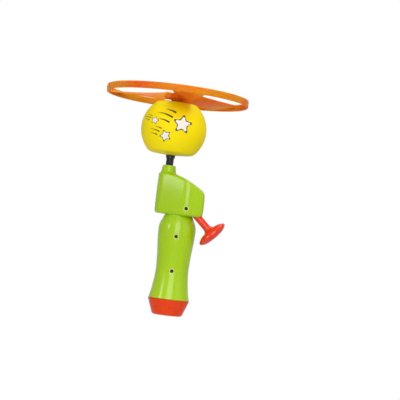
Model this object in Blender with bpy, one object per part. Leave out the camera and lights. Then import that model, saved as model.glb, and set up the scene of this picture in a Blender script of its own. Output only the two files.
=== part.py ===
"""Flying propeller launcher: a pull-cord toy that spins a ringed propeller with a ball head off its spindle.

Metres, +Z up. The origin is on the spindle's axis at the height of the base. The spool lies towards +X and
the toy's front looks along -Y.
"""

import math

import bmesh
import bpy
from mathutils import Vector

# Fits and walls
CLEARANCE = 0.0003
WALL = 0.0018
SHARP_ANGLE = math.radians(35.0)
FACING_FRONT = (math.pi / 2, 0, 0)

# Base cap
CAP_HEIGHT = 0.0170
CAP_FOOT_HALF_WIDTH = 0.0138
CAP_FOOT_HALF_DEPTH = 0.0121
CAP_EDGE_RADIUS = 0.0028
CAP_LIP = 0.0005
CAP_FLOOR = 0.0022
CAP_SPIGOT_HEIGHT = 0.0065
CAP_SPIGOT_WALL = 0.0016

# Grip: share of its length from the bottom, half width along X, half depth along Y
GRIP_X = 0.0163
GRIP_LENGTH = 0.0880
GRIP_SECTIONS = (
    (0.00, 0.0214, 0.0188),
    (0.13, 0.0191, 0.0168),
    (0.33, 0.0173, 0.0152),
    (0.52, 0.0179, 0.0156),
    (0.75, 0.0195, 0.0166),
    (0.88, 0.0191, 0.0162),
    (1.00, 0.0145, 0.0134),
)

# Gears
GEAR_MODULE = 0.0009
GEAR_TEETH = 33
PINION_TEETH = 15
GEAR_THICKNESS = 0.0040
PINION_THICKNESS = 0.0046
GEAR_BACKLASH = 0.00022
TOOTH_ADDENDUM = 0.90
TOOTH_DEDENDUM = 1.20
PRESSURE_ANGLE = math.radians(20.0)

# Gear case: round at the spindle, with folded faces that touch a large circle round the spool
CASE_GEAR_GAP = 0.00084
CASE_HEIGHT = 0.0435
CASE_FACE_SHIFT = 0.0010
CASE_END_SHIFT = 0.0014
CASE_FOLD_TURN = math.radians(12.0)
CASE_FOLD_RADIUS = 0.0140
CASE_CORNER_RADIUS = 0.0050
CASE_EDGE_RADIUS = 0.0026
ROOF_EDGE_RADIUS = 0.0036
ROOF_MARGIN = 0.0009
ROOF_CURVE = 1.6
NECK_HEIGHT = 0.0075
NECK_WALL = 0.0012
NECK_FLARE = 0.0012
NECK_EDGE_RADIUS = 0.0007
WEB_THICKNESS = 0.0018
WEB_INSET = 0.0020
WEB_BOSS_LAP = 0.0003
UPPER_WEB_GAP = 0.00144

# Screws that close the two shells
SCREW_RADIUS = 0.0009
SCREW_HEAD_RADIUS = 0.0016
SCREW_HEAD_HEIGHT = 0.0014
SCREW_LENGTH = 0.0180
SCREW_SEAT_DEPTH = 0.0090
SCREW_CHAMFER = 0.0007
BOSS_WALL = 0.0010
CASE_SCREW_OFFSET = 0.0016
CASE_SCREW_RISE = 0.0075
LOWER_GRIP_SCREW_RISE = 0.0295
UPPER_GRIP_SCREW_DROP = 0.0225

# Spindle, its bushes and its clip
SPINDLE_RADIUS = 0.00405
SPINDLE_PINION_SEAT_RADIUS = 0.0034
SPINDLE_FOOT_RADIUS = 0.0024
SPINDLE_SHOWN_LENGTH = 0.0077
SPINDLE_COLLAR_OVERHANG = 0.00085
SPINDLE_COLLAR_HEIGHT = 0.0014
DRIVE_HEX_HALF_FLATS = 0.0033
DRIVE_HEX_LENGTH = 0.0220
NECK_BUSH_WALL = 0.00085
NECK_BUSH_FLANGE = 0.0006
NECK_BUSH_FLANGE_HEIGHT = 0.0014
FOOT_BUSH_WALL = 0.0013
FOOT_BUSH_FLANGE = 0.0012
FOOT_BUSH_FLANGE_HEIGHT = 0.0008
CLIP_THICKNESS = 0.0006
CLIP_WIDTH = 0.0020
CLIP_GROOVE_DEPTH = 0.0005
CLIP_OPENING = math.radians(70.0)

# Spool, its axle and its spring
AXLE_RADIUS = 0.0015
AXLE_HEAD_RADIUS = 0.0024
AXLE_HEAD_HEIGHT = 0.0012
RUNNING_GAP = 0.0004
DRUM_RADIUS = 0.0100
DRUM_WALL = 0.0014
DRUM_SPARE = 0.00038
COVER_THICKNESS = 0.0008
COVER_SPIGOT_HEIGHT = 0.0007
WASHER_RADIUS = 0.0040
WASHER_THICKNESS = 0.0008
SPRING_STRIP = 0.0003
SPRING_TURNS = 5

# Cord and pull handle
CORD_RADIUS = 0.00045
WINDING_TURNS = 4.5
WINDING_PITCH = 0.00136
CORD_PLAY = 0.00045
CORD_STEP_DIAMETERS = 2.5
PULL_SEAT_INSET = 0.0002
PULL_SEAT_RISE = 0.0003
PULL_DEPTH = 0.0040
OUTLET_WALL = 0.0010
OUTLET_FLANGE = 0.0009
OUTLET_FLANGE_HEIGHT = 0.0007
OUTLET_LENGTH = 0.0034
OUTLET_BOSS_WALL = 0.0012
STEM_RADIUS = 0.0039
STEM_LENGTH = 0.0175
TOGGLE_HALF_LENGTH = 0.0167
TOGGLE_HALF_WIDTH = 0.0110
TOGGLE_THICKNESS = 0.0108
TOGGLE_RIM = 0.0040
TOGGLE_ROOT_SWELL = 0.09
TOGGLE_SHOULDER_SWELL = 0.55
KNOT_RADIUS = 0.0018
KNOT_END_TURN = math.radians(75.0)
KNOT_PLAY = 0.0012
KNOT_SPARE = 0.0011
PLUG_THICKNESS = 0.0015

# Flyer: ball head, sleeve, propeller
HEAD_RADIUS = 0.0344
HEAD_CUT = 0.00705
HEAD_SAG = 0.0016
HEAD_FOOT_RADIUS = 0.0075
HEAD_EDGE_RADIUS = 0.0030
HEAD_WALL = 0.0016
SLEEVE_WALL = 0.00084
SLEEVE_FLANGE_RADIUS = 0.0120
SLEEVE_FLANGE_THICKNESS = 0.0015
SLEEVE_END_SHOWN = 0.0014
SLEEVE_SPIGOT_HEIGHT = 0.0030
HUB_COLLAR_WALL = 0.0009
HUB_COLLAR_HEIGHT = 0.0033
HUB_FLANK_HEIGHT = 0.0010
HUB_RADIUS = 0.0125
HUB_BODY_HEIGHT = 0.0052
HUB_RIBS = 12
HUB_RIB_HEIGHT = 0.0010
HUB_SCREW_RADIUS = 0.0012
HUB_SCREW_HEAD_RADIUS = 0.0028
HUB_SCREW_HEAD_HEIGHT = 0.0015
HUB_SCREW_LENGTH = 0.0145
HUB_CAP_RADIUS = 0.0063
HUB_CAP_THICKNESS = 0.0014
HUB_CAP_DOME = 0.0017
PROPELLER_RADIUS = 0.0750
HOOP_THICKNESS = 0.0016
HOOP_HEIGHT = 0.0072
BLADE_ANGLES = tuple(math.radians(angle) for angle in (-78.0, 42.0, 162.0))
BLADE_RISE = 0.0074
BLADE_ROOT_CHORD = 0.0160
BLADE_TIP_CHORD = 0.0330
BLADE_WIDENING = 0.5
BLADE_THICKNESS = 0.0016
BLADE_EDGE_THICKNESS = 0.0010
BLADE_ADVANCE = 0.0095
BLADE_STEEPEST_RADIUS = 0.0180

# Facets
PIECE_SIDES = 18
DRUM_SIDES = 32
GRIP_SIDES = 28
CORNER_STEPS = 3
FOLD_STEPS = 4
SMALL_ARC_STEPS = 5
FLANK_STEPS = 3
TOOTH_STEPS = 3
EDGE_STEPS = 2
GRIP_STEPS = 11
HOOP_SIDES = 64
HEAD_SIDES = 28
HEAD_STEPS = 10
BLADE_STEPS = 8
BLADE_STATIONS = 5
KNOT_STEPS = 6
SPRING_STEPS = 18
LOOP_STEPS = 24
POINTS_PER_RIB = 4

# Sizes that follow from the ones above
SPOOL_X = GEAR_MODULE * (GEAR_TEETH + PINION_TEETH) / 2
GEAR_TIP_RADIUS = GEAR_MODULE * (GEAR_TEETH / 2 + TOOTH_ADDENDUM)
PINION_TIP_RADIUS = GEAR_MODULE * (PINION_TEETH / 2 + TOOTH_ADDENDUM)
CASE_LARGE_RADIUS = GEAR_TIP_RADIUS + CASE_GEAR_GAP + WALL
CASE_SMALL_RADIUS = PINION_TIP_RADIUS + CASE_GEAR_GAP + WALL
CASE_RIGHT_X = SPOOL_X + CASE_LARGE_RADIUS + CASE_END_SHIFT
NECK_BUSH_RADIUS = SPINDLE_RADIUS + CLEARANCE + NECK_BUSH_WALL
NECK_BUSH_LENGTH = NECK_HEIGHT + WALL - CLEARANCE
NECK_TOP_RADIUS = NECK_BUSH_RADIUS + CLEARANCE + NECK_WALL
NECK_BASE_RADIUS = NECK_TOP_RADIUS + NECK_FLARE
FOOT_BUSH_RADIUS = SPINDLE_FOOT_RADIUS + CLEARANCE + FOOT_BUSH_WALL
SPINDLE_COLLAR_RADIUS = SPINDLE_RADIUS + SPINDLE_COLLAR_OVERHANG
CLIP_GROOVE_RADIUS = SPINDLE_PINION_SEAT_RADIUS - CLIP_GROOVE_DEPTH
BOSS_RADIUS = SCREW_HEAD_RADIUS + CLEARANCE + BOSS_WALL
DRUM_HEIGHT = WINDING_TURNS * WINDING_PITCH + 2 * CORD_RADIUS + DRUM_SPARE
WINDING_RADIUS = DRUM_RADIUS + CLEARANCE + CORD_RADIUS
CORD_BORE_RADIUS = CORD_RADIUS + CORD_PLAY
OUTLET_RADIUS = CORD_BORE_RADIUS + OUTLET_WALL
TOGGLE_TOP = STEM_LENGTH + TOGGLE_THICKNESS
KNOT_POCKET_RADIUS = KNOT_RADIUS + KNOT_PLAY
KNOT_POCKET_DEPTH = 2 * KNOT_RADIUS + PLUG_THICKNESS + KNOT_SPARE
DRIVE_SOCKET_HALF_FLATS = DRIVE_HEX_HALF_FLATS + CLEARANCE
SLEEVE_RADIUS = DRIVE_SOCKET_HALF_FLATS / math.cos(math.pi / 6) + SLEEVE_WALL
HEAD_HEIGHT = 2 * (HEAD_RADIUS - HEAD_CUT)
HUB_COLLAR_RADIUS = SLEEVE_RADIUS + CLEARANCE + HUB_COLLAR_WALL
HUB_HEIGHT = HUB_COLLAR_HEIGHT + HUB_FLANK_HEIGHT + HUB_BODY_HEIGHT

# Places that follow from the sizes
CASE_Z = CAP_HEIGHT + GRIP_LENGTH
ROOF_Z = CASE_Z + CASE_HEIGHT
NECK_TOP_Z = ROOF_Z + NECK_HEIGHT
CASE_SCREW_X = SPOOL_X + CASE_SCREW_OFFSET
CASE_SCREW_Z = CASE_Z + CASE_SCREW_RISE
LOWER_GRIP_SCREW_Z = CAP_HEIGHT + LOWER_GRIP_SCREW_RISE
UPPER_GRIP_SCREW_Z = CASE_Z - UPPER_GRIP_SCREW_DROP
LOWER_WEB_Z = CASE_SCREW_Z + BOSS_RADIUS - WEB_BOSS_LAP
LOWER_WEB_TOP = LOWER_WEB_Z + WEB_THICKNESS
WEB_HALF_WIDTH = DRUM_RADIUS - WEB_INSET
AXLE_FOOT_Z = LOWER_WEB_Z + WEB_BOSS_LAP + 2 * CLEARANCE
COVER_Z = LOWER_WEB_TOP + RUNNING_GAP
DRUM_Z = COVER_Z + COVER_THICKNESS + CLEARANCE
GEAR_Z = DRUM_Z + DRUM_HEIGHT
GEAR_TOP = GEAR_Z + GEAR_THICKNESS
WASHER_Z = GEAR_TOP + CLEARANCE
UPPER_WEB_Z = WASHER_Z + WASHER_THICKNESS + CLEARANCE
UPPER_WEB_TOP = UPPER_WEB_Z + WEB_THICKNESS
UPPER_WEB_START_X = PINION_TIP_RADIUS + UPPER_WEB_GAP
ROOF_DROP = ROOF_Z - GEAR_TOP - ROOF_MARGIN
PINION_Z = (GEAR_Z + GEAR_TOP - PINION_THICKNESS) / 2
PINION_TOP = PINION_Z + PINION_THICKNESS
CLIP_GROOVE_Z = PINION_Z - CLIP_THICKNESS - 2 * CLEARANCE
FOOT_FLANGE_Z = LOWER_WEB_TOP + CLEARANCE
COLLAR_Z = NECK_TOP_Z + SPINDLE_SHOWN_LENGTH
COLLAR_TOP = COLLAR_Z + SPINDLE_COLLAR_HEIGHT
SLEEVE_Z = COLLAR_TOP + CLEARANCE
HEAD_Z = SLEEVE_Z + SLEEVE_END_SHOWN
HEAD_TOP = HEAD_Z + HEAD_HEIGHT
SLEEVE_FLANGE_TOP = HEAD_TOP - HEAD_WALL - CLEARANCE
HUB_Z = HEAD_TOP + CLEARANCE
HUB_TOP = HUB_Z + HUB_HEIGHT
SLEEVE_TOP = HUB_Z + SLEEVE_SPIGOT_HEIGHT
HUB_CAP_Z = HUB_TOP - HUB_CAP_THICKNESS
HUB_SCREW_SEAT_Z = HUB_CAP_Z - 2 * CLEARANCE - HUB_SCREW_HEAD_HEIGHT - CLEARANCE
BLADE_Z = HUB_Z + BLADE_RISE

# The cord leaves the lowest turn at the drum's front and runs straight to the pull handle's seat in the case
CORD_Y = -WINDING_RADIUS
WINDING_Z = DRUM_Z + CORD_RADIUS
PULL_SEAT_X = SPOOL_X + math.sqrt(CASE_LARGE_RADIUS**2 - CORD_Y**2) - PULL_SEAT_INSET
PULL_SEAT_Z = CASE_Z + PULL_SEAT_RISE
PULL_SLOPE = math.atan2(WINDING_Z - PULL_SEAT_Z, PULL_SEAT_X - SPOOL_X)

# Colour, roughness and metallic value of each material
GREEN = ((0.37, 0.60, 0.010, 1.0), 0.32, 0.0)
RED_ORANGE = ((0.83, 0.070, 0.012, 1.0), 0.34, 0.0)
ORANGE = ((0.87, 0.16, 0.017, 1.0), 0.30, 0.0)
YELLOW = ((0.95, 0.74, 0.004, 1.0), 0.75, 0.0)
BLACK = ((0.007, 0.009, 0.013, 1.0), 0.28, 0.0)
NATURAL = ((0.78, 0.76, 0.69, 1.0), 0.45, 0.0)
WHITE_CORD = ((0.74, 0.72, 0.66, 1.0), 0.85, 0.0)
STEEL = ((0.60, 0.60, 0.62, 1.0), 0.35, 1.0)
SPRING_STEEL = ((0.36, 0.37, 0.40, 1.0), 0.30, 1.0)


def clear_scene():
    """Remove whatever the file holds before the toy is made."""
    for obj in list(bpy.data.objects):
        bpy.data.objects.remove(obj, do_unlink=True)


def make_material(name, look):
    """A Principled material with one colour, roughness and metallic value."""
    colour, roughness, metallic = look
    material = bpy.data.materials.new(name)
    material.use_nodes = True
    shader = material.node_tree.nodes["Principled BSDF"]
    shader.inputs["Base Color"].default_value = colour
    shader.inputs["Roughness"].default_value = roughness
    shader.inputs["Metallic"].default_value = metallic
    return material


def place_object(name, data, look, parent, location, rotation):
    """Link an object; with no look it is a guide that only cuts or joins others."""
    obj = bpy.data.objects.new(name, data)
    bpy.context.scene.collection.objects.link(obj)
    obj.parent = parent
    obj.location = location
    obj.rotation_euler = rotation
    if look:
        data.materials.append(make_material(name, look))
    else:
        obj.hide_render = True
        obj.display_type = "WIRE"
    return obj


def place_mesh(name, bm, look=None, parent=None, location=(0, 0, 0), rotation=(0, 0, 0)):
    """Turn a closed bmesh into a smooth-shaded object."""
    bmesh.ops.recalc_face_normals(bm, faces=bm.faces)
    mesh = bpy.data.meshes.new(name)
    bm.to_mesh(mesh)
    bm.free()
    mesh.shade_smooth()
    mesh.set_sharp_from_angle(angle=SHARP_ANGLE)
    return place_object(name, mesh, look, parent, location, rotation)


def place_tube(name, points, radius, resolution, look, parent):
    """A cord along points, as a curve with a round bevel and filled caps."""
    curve = bpy.data.curves.new(name, "CURVE")
    curve.dimensions = "3D"
    curve.bevel_depth = radius
    curve.bevel_resolution = resolution
    curve.use_fill_caps = True
    spline = curve.splines.new("POLY")
    spline.points.add(len(points) - 1)
    for knot, point in zip(spline.points, points):
        knot.co = (*point, 1.0)
    return place_object(name, curve, look, parent, (0, 0, 0), (0, 0, 0))


def place_axis(name, location, rotation=(0, 0, 0)):
    """An empty on a joint's axis that carries the pieces which move on it."""
    axis = bpy.data.objects.new(name, None)
    bpy.context.scene.collection.objects.link(axis)
    axis.location = location
    axis.rotation_euler = rotation
    return axis


def combine(target, other, operation="DIFFERENCE"):
    """Cut or join one object with another."""
    modifier = target.modifiers.new(other.name, "BOOLEAN")
    modifier.operation = operation
    modifier.solver = "EXACT"
    modifier.object = other


def oval(half_x, half_y, z, sides, centre_x=0.0):
    """Points of a level oval, counter-clockwise from +X."""
    turn = math.tau / sides
    return [
        (centre_x + half_x * math.cos(i * turn), half_y * math.sin(i * turn), z)
        for i in range(sides)
    ]


def hexagon(half_flats, z, sides):
    """Points of a level hexagon with a corner on +X, on as many rays as the round rings have."""
    points = []
    for i in range(sides):
        angle = math.tau * i / sides
        off_flat = angle % math.radians(60) - math.radians(30)
        radius = half_flats / math.cos(off_flat)
        points.append((radius * math.cos(angle), radius * math.sin(angle), z))
    return points


def skin(bm, rings, closed=False, caps=True):
    """Join rings of equal length; a skin that isn't closed is capped flat at both ends."""
    loops = [[bm.verts.new(point) for point in ring] for ring in rings]
    pairs = list(zip(loops, loops[1:]))
    if closed:
        pairs.append((loops[-1], loops[0]))
    for lower, upper in pairs:
        for i in range(len(lower)):
            j = (i + 1) % len(lower)
            bm.faces.new((lower[i], lower[j], upper[j], upper[i]))
    if caps and not closed:
        bm.faces.new(tuple(reversed(loops[0])))
        bm.faces.new(tuple(loops[-1]))
    return loops


def pair_cap(bm, loop):
    """Close a ring whose two sides face each other with strips between them, so that it can bend."""
    for i in range(len(loop) // 2 - 1):
        bm.faces.new((loop[i], loop[i + 1], loop[-(i + 2)], loop[-(i + 1)]))


def turned(profile, closed=False, sides=PIECE_SIDES):
    """A turned shape from radius and height pairs; a closed profile leaves a bore."""
    bm = bmesh.new()
    skin(bm, [oval(radius, radius, z, sides) for radius, z in profile], closed)
    return bm


def box(low, high):
    """A box between two corners."""
    bm = bmesh.new()
    corners = ((low[0], low[1]), (high[0], low[1]), (high[0], high[1]), (low[0], high[1]))
    skin(bm, [[(x, y, z) for x, y in corners] for z in (low[2], high[2])])
    return bm


def arc(centre_r, centre_z, radius, start, end, steps):
    """Points of an arc in a turned profile."""
    points = []
    for i in range(steps + 1):
        angle = start + (end - start) * i / steps
        points.append((centre_r + radius * math.cos(angle), centre_z + radius * math.sin(angle)))
    return points


def curve_value(stations, share, column):
    """One column of a station table at a share, on a cubic curve through the stations."""
    last = len(stations) - 1
    share = min(max(share, stations[0][0]), stations[last][0])

    def slope(index):
        before = stations[max(index - 1, 0)]
        after = stations[min(index + 1, last)]
        return (after[column] - before[column]) / (after[0] - before[0])

    index = 0
    while index < last - 1 and share > stations[index + 1][0]:
        index += 1
    start, end = stations[index], stations[index + 1]
    span = end[0] - start[0]
    t = (share - start[0]) / span
    rise = (2 * t**3 - 3 * t**2 + 1) * start[column] + (3 * t**2 - 2 * t**3) * end[column]
    bend = (t**3 - 2 * t**2 + t) * slope(index) + (t**3 - t**2) * slope(index + 1)
    return rise + span * bend


def grip_size(z):
    """Half width and half depth of the grip's outside at a height."""
    share = (z - CAP_HEIGHT) / GRIP_LENGTH
    return curve_value(GRIP_SECTIONS, share, 1), curve_value(GRIP_SECTIONS, share, 2)


def grip_ring(z, inset):
    """The grip's outline at a height, moved inwards by an inset."""
    half_width, half_depth = grip_size(z)
    return oval(half_width - inset, half_depth - inset, z, GRIP_SIDES, GRIP_X)


def grip_solid(bottom, top, inset):
    """The grip between two heights, moved inwards by an inset."""
    bm = bmesh.new()
    heights = [bottom + (top - bottom) * i / GRIP_STEPS for i in range(GRIP_STEPS + 1)]
    skin(bm, [grip_ring(z, inset) for z in heights])
    return bm


def roof_z(x):
    """Height of the case's roof: level over the spindle, falling in a curve towards the spool's side."""
    reach = max(x, 0.0) / CASE_RIGHT_X
    return ROOF_Z - ROOF_DROP * reach**ROOF_CURVE


def case_rounding(first, last, radius):
    """Centre of the rounding between two faces, each a distance from the spool's axis and an angle."""
    first_distance, first_angle = first
    last_distance, last_angle = last
    first_reach = first_distance - radius
    last_reach = last_distance - radius
    turn = math.sin(last_angle - first_angle)
    x = (first_reach * math.sin(last_angle) - last_reach * math.sin(first_angle)) / turn
    y = (last_reach * math.cos(first_angle) - first_reach * math.cos(last_angle)) / turn
    return SPOOL_X + x, y


def case_planes():
    """The case's end, face and flank: distance from the spool's axis and the angle that each looks to."""
    face = math.pi / 2 - CASE_FOLD_TURN
    flank = math.pi / 2 + math.asin((CASE_LARGE_RADIUS - CASE_SMALL_RADIUS) / SPOOL_X)
    return (
        (CASE_LARGE_RADIUS + CASE_END_SHIFT, 0.0),
        (CASE_LARGE_RADIUS + CASE_FACE_SHIFT, face),
        (CASE_LARGE_RADIUS, flank),
    )


def case_half_depth(x):
    """Half depth of the case's outside at an x on the rounded fold."""
    fold_x, fold_y = case_rounding(*case_planes()[1:], CASE_FOLD_RADIUS)
    return fold_y + math.sqrt(CASE_FOLD_RADIUS**2 - (x - fold_x) ** 2)


def case_half_plan():
    """Half of the case's plan from +X to -X: centre of curvature, radius and outward angle of each point."""
    end_plane, face_plane, flank_plane = case_planes()
    face = face_plane[1]
    flank = flank_plane[1]
    corner = case_rounding(end_plane, face_plane, CASE_CORNER_RADIUS)
    fold = case_rounding(face_plane, flank_plane, CASE_FOLD_RADIUS)
    plan = []
    for i in range(CORNER_STEPS + 1):
        plan.append((*corner, CASE_CORNER_RADIUS, face * i / CORNER_STEPS))
    for i in range(FOLD_STEPS + 1):
        plan.append((*fold, CASE_FOLD_RADIUS, face + (flank - face) * i / FOLD_STEPS))
    for i in range(1, FLANK_STEPS):
        share = i / FLANK_STEPS
        radius = CASE_FOLD_RADIUS + (CASE_SMALL_RADIUS - CASE_FOLD_RADIUS) * share
        plan.append((fold[0] * (1 - share), fold[1] * (1 - share), radius, flank))
    for i in range(SMALL_ARC_STEPS + 1):
        plan.append((0.0, 0.0, CASE_SMALL_RADIUS, flank + (math.pi - flank) * i / SMALL_ARC_STEPS))
    return plan


def case_ring(inset, height_at):
    """One ring of the case's plan, moved inwards, at a height that depends on x."""
    half = []
    for centre_x, centre_y, radius, angle in case_half_plan():
        x = centre_x + (radius - inset) * math.cos(angle)
        y = centre_y + (radius - inset) * math.sin(angle)
        half.append((x, y))
    other_half = [(x, -y) for x, y in reversed(half[:-1])]
    return [(x, y, height_at(x)) for x, y in half + other_half]


def strip_cap(bm, loop):
    """Close a ring that mirrors in Y with strips across it, so that a curved roof stays smooth."""
    for i in range((len(loop) - 1) // 2):
        strip = (loop[i], loop[i + 1], loop[-(i + 2)], loop[-(i + 1)])
        corners = list(dict.fromkeys(strip))
        bm.faces.new(corners)


def case_solid(inset, floor_z, roof_depth, edge, roof_edge):
    """The case with rounded edges, moved inwards by an inset, its roof lowered by a depth."""
    rings = []
    for i in range(EDGE_STEPS + 1):
        turn = math.pi / 2 * (1 - i / EDGE_STEPS)
        height = floor_z + edge * (1 - math.sin(turn))
        rings.append(case_ring(inset + edge * (1 - math.cos(turn)), lambda x, z=height: z))
    for i in range(EDGE_STEPS + 1):
        turn = math.pi / 2 * i / EDGE_STEPS
        drop = roof_depth + roof_edge * (1 - math.sin(turn))
        rings.append(
            case_ring(inset + roof_edge * (1 - math.cos(turn)), lambda x, d=drop: roof_z(x) - d)
        )
    bm = bmesh.new()
    loops = skin(bm, rings, caps=False)
    bm.faces.new(tuple(reversed(loops[0])))
    strip_cap(bm, loops[-1])
    return bm


def screw_places():
    """Name, x, z and depth of the front surface of each shell screw."""
    places = [("case_screw", CASE_SCREW_X, CASE_SCREW_Z, case_half_depth(CASE_SCREW_X))]
    for name, z in (("lower_grip_screw", LOWER_GRIP_SCREW_Z), ("upper_grip_screw", UPPER_GRIP_SCREW_Z)):
        places.append((name, GRIP_X, z, grip_size(z)[1]))
    return places


def make_cavity(pull_axis):
    """The hollow inside the shells, less the webs and bosses that stay standing in it."""
    inner_edge = max(CASE_EDGE_RADIUS - WALL, CLEARANCE)
    inner_roof_edge = max(ROOF_EDGE_RADIUS - WALL, CLEARANCE)
    cavity = place_mesh(
        "case_cavity", case_solid(WALL, CASE_Z + WALL, WALL, inner_edge, inner_roof_edge)
    )
    grip_hollow = grip_solid(CAP_HEIGHT - WALL, CASE_Z + 2 * WALL, WALL)
    combine(cavity, place_mesh("grip_cavity", grip_hollow), "UNION")
    lower = box(
        (-CASE_SMALL_RADIUS, -WEB_HALF_WIDTH, LOWER_WEB_Z), (CASE_RIGHT_X, WEB_HALF_WIDTH, LOWER_WEB_TOP)
    )
    combine(cavity, place_mesh("lower_web", lower))
    upper = box(
        (UPPER_WEB_START_X, -CASE_LARGE_RADIUS, UPPER_WEB_Z), (CASE_RIGHT_X, CASE_LARGE_RADIUS, UPPER_WEB_TOP)
    )
    combine(cavity, place_mesh("upper_web", upper))
    for name, x, z, front in screw_places():
        boss = turned([(BOSS_RADIUS, -front), (BOSS_RADIUS, front)])
        combine(cavity, place_mesh(name + "_boss", boss, None, None, (x, 0, z), FACING_FRONT))
    boss_radius = STEM_RADIUS + 2 * CLEARANCE + OUTLET_BOSS_WALL
    seat = outlet_seat()
    boss = turned([(boss_radius, seat - OUTLET_LENGTH), (boss_radius, seat + STEM_RADIUS)])
    combine(cavity, place_mesh("outlet_boss", boss, None, pull_axis))
    return cavity


def outlet_seat():
    """Place of the outlet's seat on the pull axis, behind the pull handle's end."""
    return -(PULL_DEPTH + 2 * CLEARANCE + OUTLET_FLANGE_HEIGHT)


def shell_cutters(pull_axis):
    """Bores for bushes, axle, screws and cord outlet in the shells."""
    bush_bore = NECK_BUSH_RADIUS + CLEARANCE
    groove_radius = bush_bore + NECK_BUSH_FLANGE
    groove_z = ROOF_Z + CLEARANCE
    groove_top = groove_z + NECK_BUSH_FLANGE_HEIGHT + 2 * CLEARANCE
    neck = turned(
        [
            (bush_bore, ROOF_Z - 2 * WALL),
            (bush_bore, groove_z),
            (groove_radius, groove_z),
            (groove_radius, groove_top),
            (bush_bore, groove_top),
            (bush_bore, NECK_TOP_Z + WALL),
        ]
    )
    yield place_mesh("neck_bore", neck)
    foot_radius = FOOT_BUSH_RADIUS + CLEARANCE
    foot = turned([(foot_radius, LOWER_WEB_Z - WALL), (foot_radius, LOWER_WEB_TOP + WALL)])
    yield place_mesh("foot_bore", foot)
    axle_radius = AXLE_RADIUS + CLEARANCE
    axle = turned([(axle_radius, AXLE_FOOT_Z - CLEARANCE), (axle_radius, UPPER_WEB_TOP + CLEARANCE)])
    yield place_mesh("axle_bore", axle, None, None, (SPOOL_X, 0, 0))
    hole = SCREW_RADIUS + CLEARANCE
    recess = SCREW_HEAD_RADIUS + CLEARANCE
    for name, x, z, front in screw_places():
        bore = turned(
            [
                (hole, SCREW_SEAT_DEPTH - SCREW_LENGTH - 2 * CLEARANCE),
                (hole, SCREW_SEAT_DEPTH),
                (recess, SCREW_SEAT_DEPTH),
                (recess, front - SCREW_CHAMFER),
                (recess + SCREW_CHAMFER + WALL, front + WALL),
            ]
        )
        yield place_mesh(name + "_bore", bore, None, None, (x, 0, z), FACING_FRONT)
    seat = outlet_seat()
    bore_radius = OUTLET_RADIUS + CLEARANCE
    face_radius = STEM_RADIUS + 2 * CLEARANCE
    outlet = turned(
        [
            (bore_radius, seat - OUTLET_LENGTH - WALL),
            (bore_radius, seat),
            (face_radius, seat),
            (face_radius, seat + STEM_LENGTH),
        ]
    )
    yield place_mesh("outlet_bore", outlet, None, pull_axis)


def make_shells(pull_axis):
    """Front and rear halves of case, neck and grip, parted on the plane of both axes."""
    body = place_mesh("body", case_solid(0.0, CASE_Z, 0.0, CASE_EDGE_RADIUS, ROOF_EDGE_RADIUS))
    grip = grip_solid(CAP_HEIGHT + CLEARANCE / 2, CASE_Z + CASE_EDGE_RADIUS / 2, 0.0)
    combine(body, place_mesh("grip_outside", grip), "UNION")
    edge = NECK_EDGE_RADIUS
    neck = [(NECK_BASE_RADIUS, ROOF_Z - WALL), (NECK_BASE_RADIUS, ROOF_Z)]
    neck += arc(NECK_TOP_RADIUS - edge, NECK_TOP_Z - edge, edge, 0.0, math.pi / 2, EDGE_STEPS)
    combine(body, place_mesh("neck_outside", turned(neck)), "UNION")
    hollows = [make_cavity(pull_axis), *shell_cutters(pull_axis)]
    reach = 2 * CASE_RIGHT_X
    parting = CLEARANCE / 2
    front = place_mesh("front_shell", box((-reach, -reach, 0), (reach, -parting, NECK_TOP_Z + WALL)), GREEN)
    rear = place_mesh("rear_shell", box((-reach, parting, 0), (reach, reach, NECK_TOP_Z + WALL)), GREEN)
    for shell in (front, rear):
        combine(shell, body, "INTERSECT")
        for hollow in hollows:
            combine(shell, hollow)


def make_base_cap():
    """Flared cap with a flat foot, and a spigot that fits inside the bottom of the grip."""
    rim_z = CAP_HEIGHT - CLEARANCE / 2
    half_width, half_depth = grip_size(CAP_HEIGHT)
    side_x = CAP_FOOT_HALF_WIDTH + CAP_EDGE_RADIUS
    side_y = CAP_FOOT_HALF_DEPTH + CAP_EDGE_RADIUS
    rings = []
    for i in range(EDGE_STEPS + 1):
        turn = math.pi / 2 * (1 - i / EDGE_STEPS)
        inset = CAP_EDGE_RADIUS * (1 - math.cos(turn))
        z = CAP_EDGE_RADIUS * (1 - math.sin(turn))
        rings.append(oval(side_x - inset, side_y - inset, z, GRIP_SIDES, GRIP_X))
    rings.append(oval(half_width + CAP_LIP, half_depth + CAP_LIP, rim_z, GRIP_SIDES, GRIP_X))
    fit = WALL + CLEARANCE
    spigot_top = CAP_HEIGHT + CAP_SPIGOT_HEIGHT
    rings.append(grip_ring(rim_z, fit))
    rings.append(grip_ring(CAP_HEIGHT + CAP_SPIGOT_HEIGHT / 2, fit))
    rings.append(grip_ring(spigot_top, fit))
    rings.append(grip_ring(spigot_top, fit + CAP_SPIGOT_WALL))
    rings.append(grip_ring(rim_z, fit + CAP_SPIGOT_WALL))
    inner_x = CAP_FOOT_HALF_WIDTH - WALL
    inner_y = CAP_FOOT_HALF_DEPTH - WALL
    rings.append(oval(inner_x, inner_y, CAP_FLOOR, GRIP_SIDES, GRIP_X))
    bm = bmesh.new()
    skin(bm, rings)
    place_mesh("base_cap", bm, RED_ORANGE)


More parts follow.
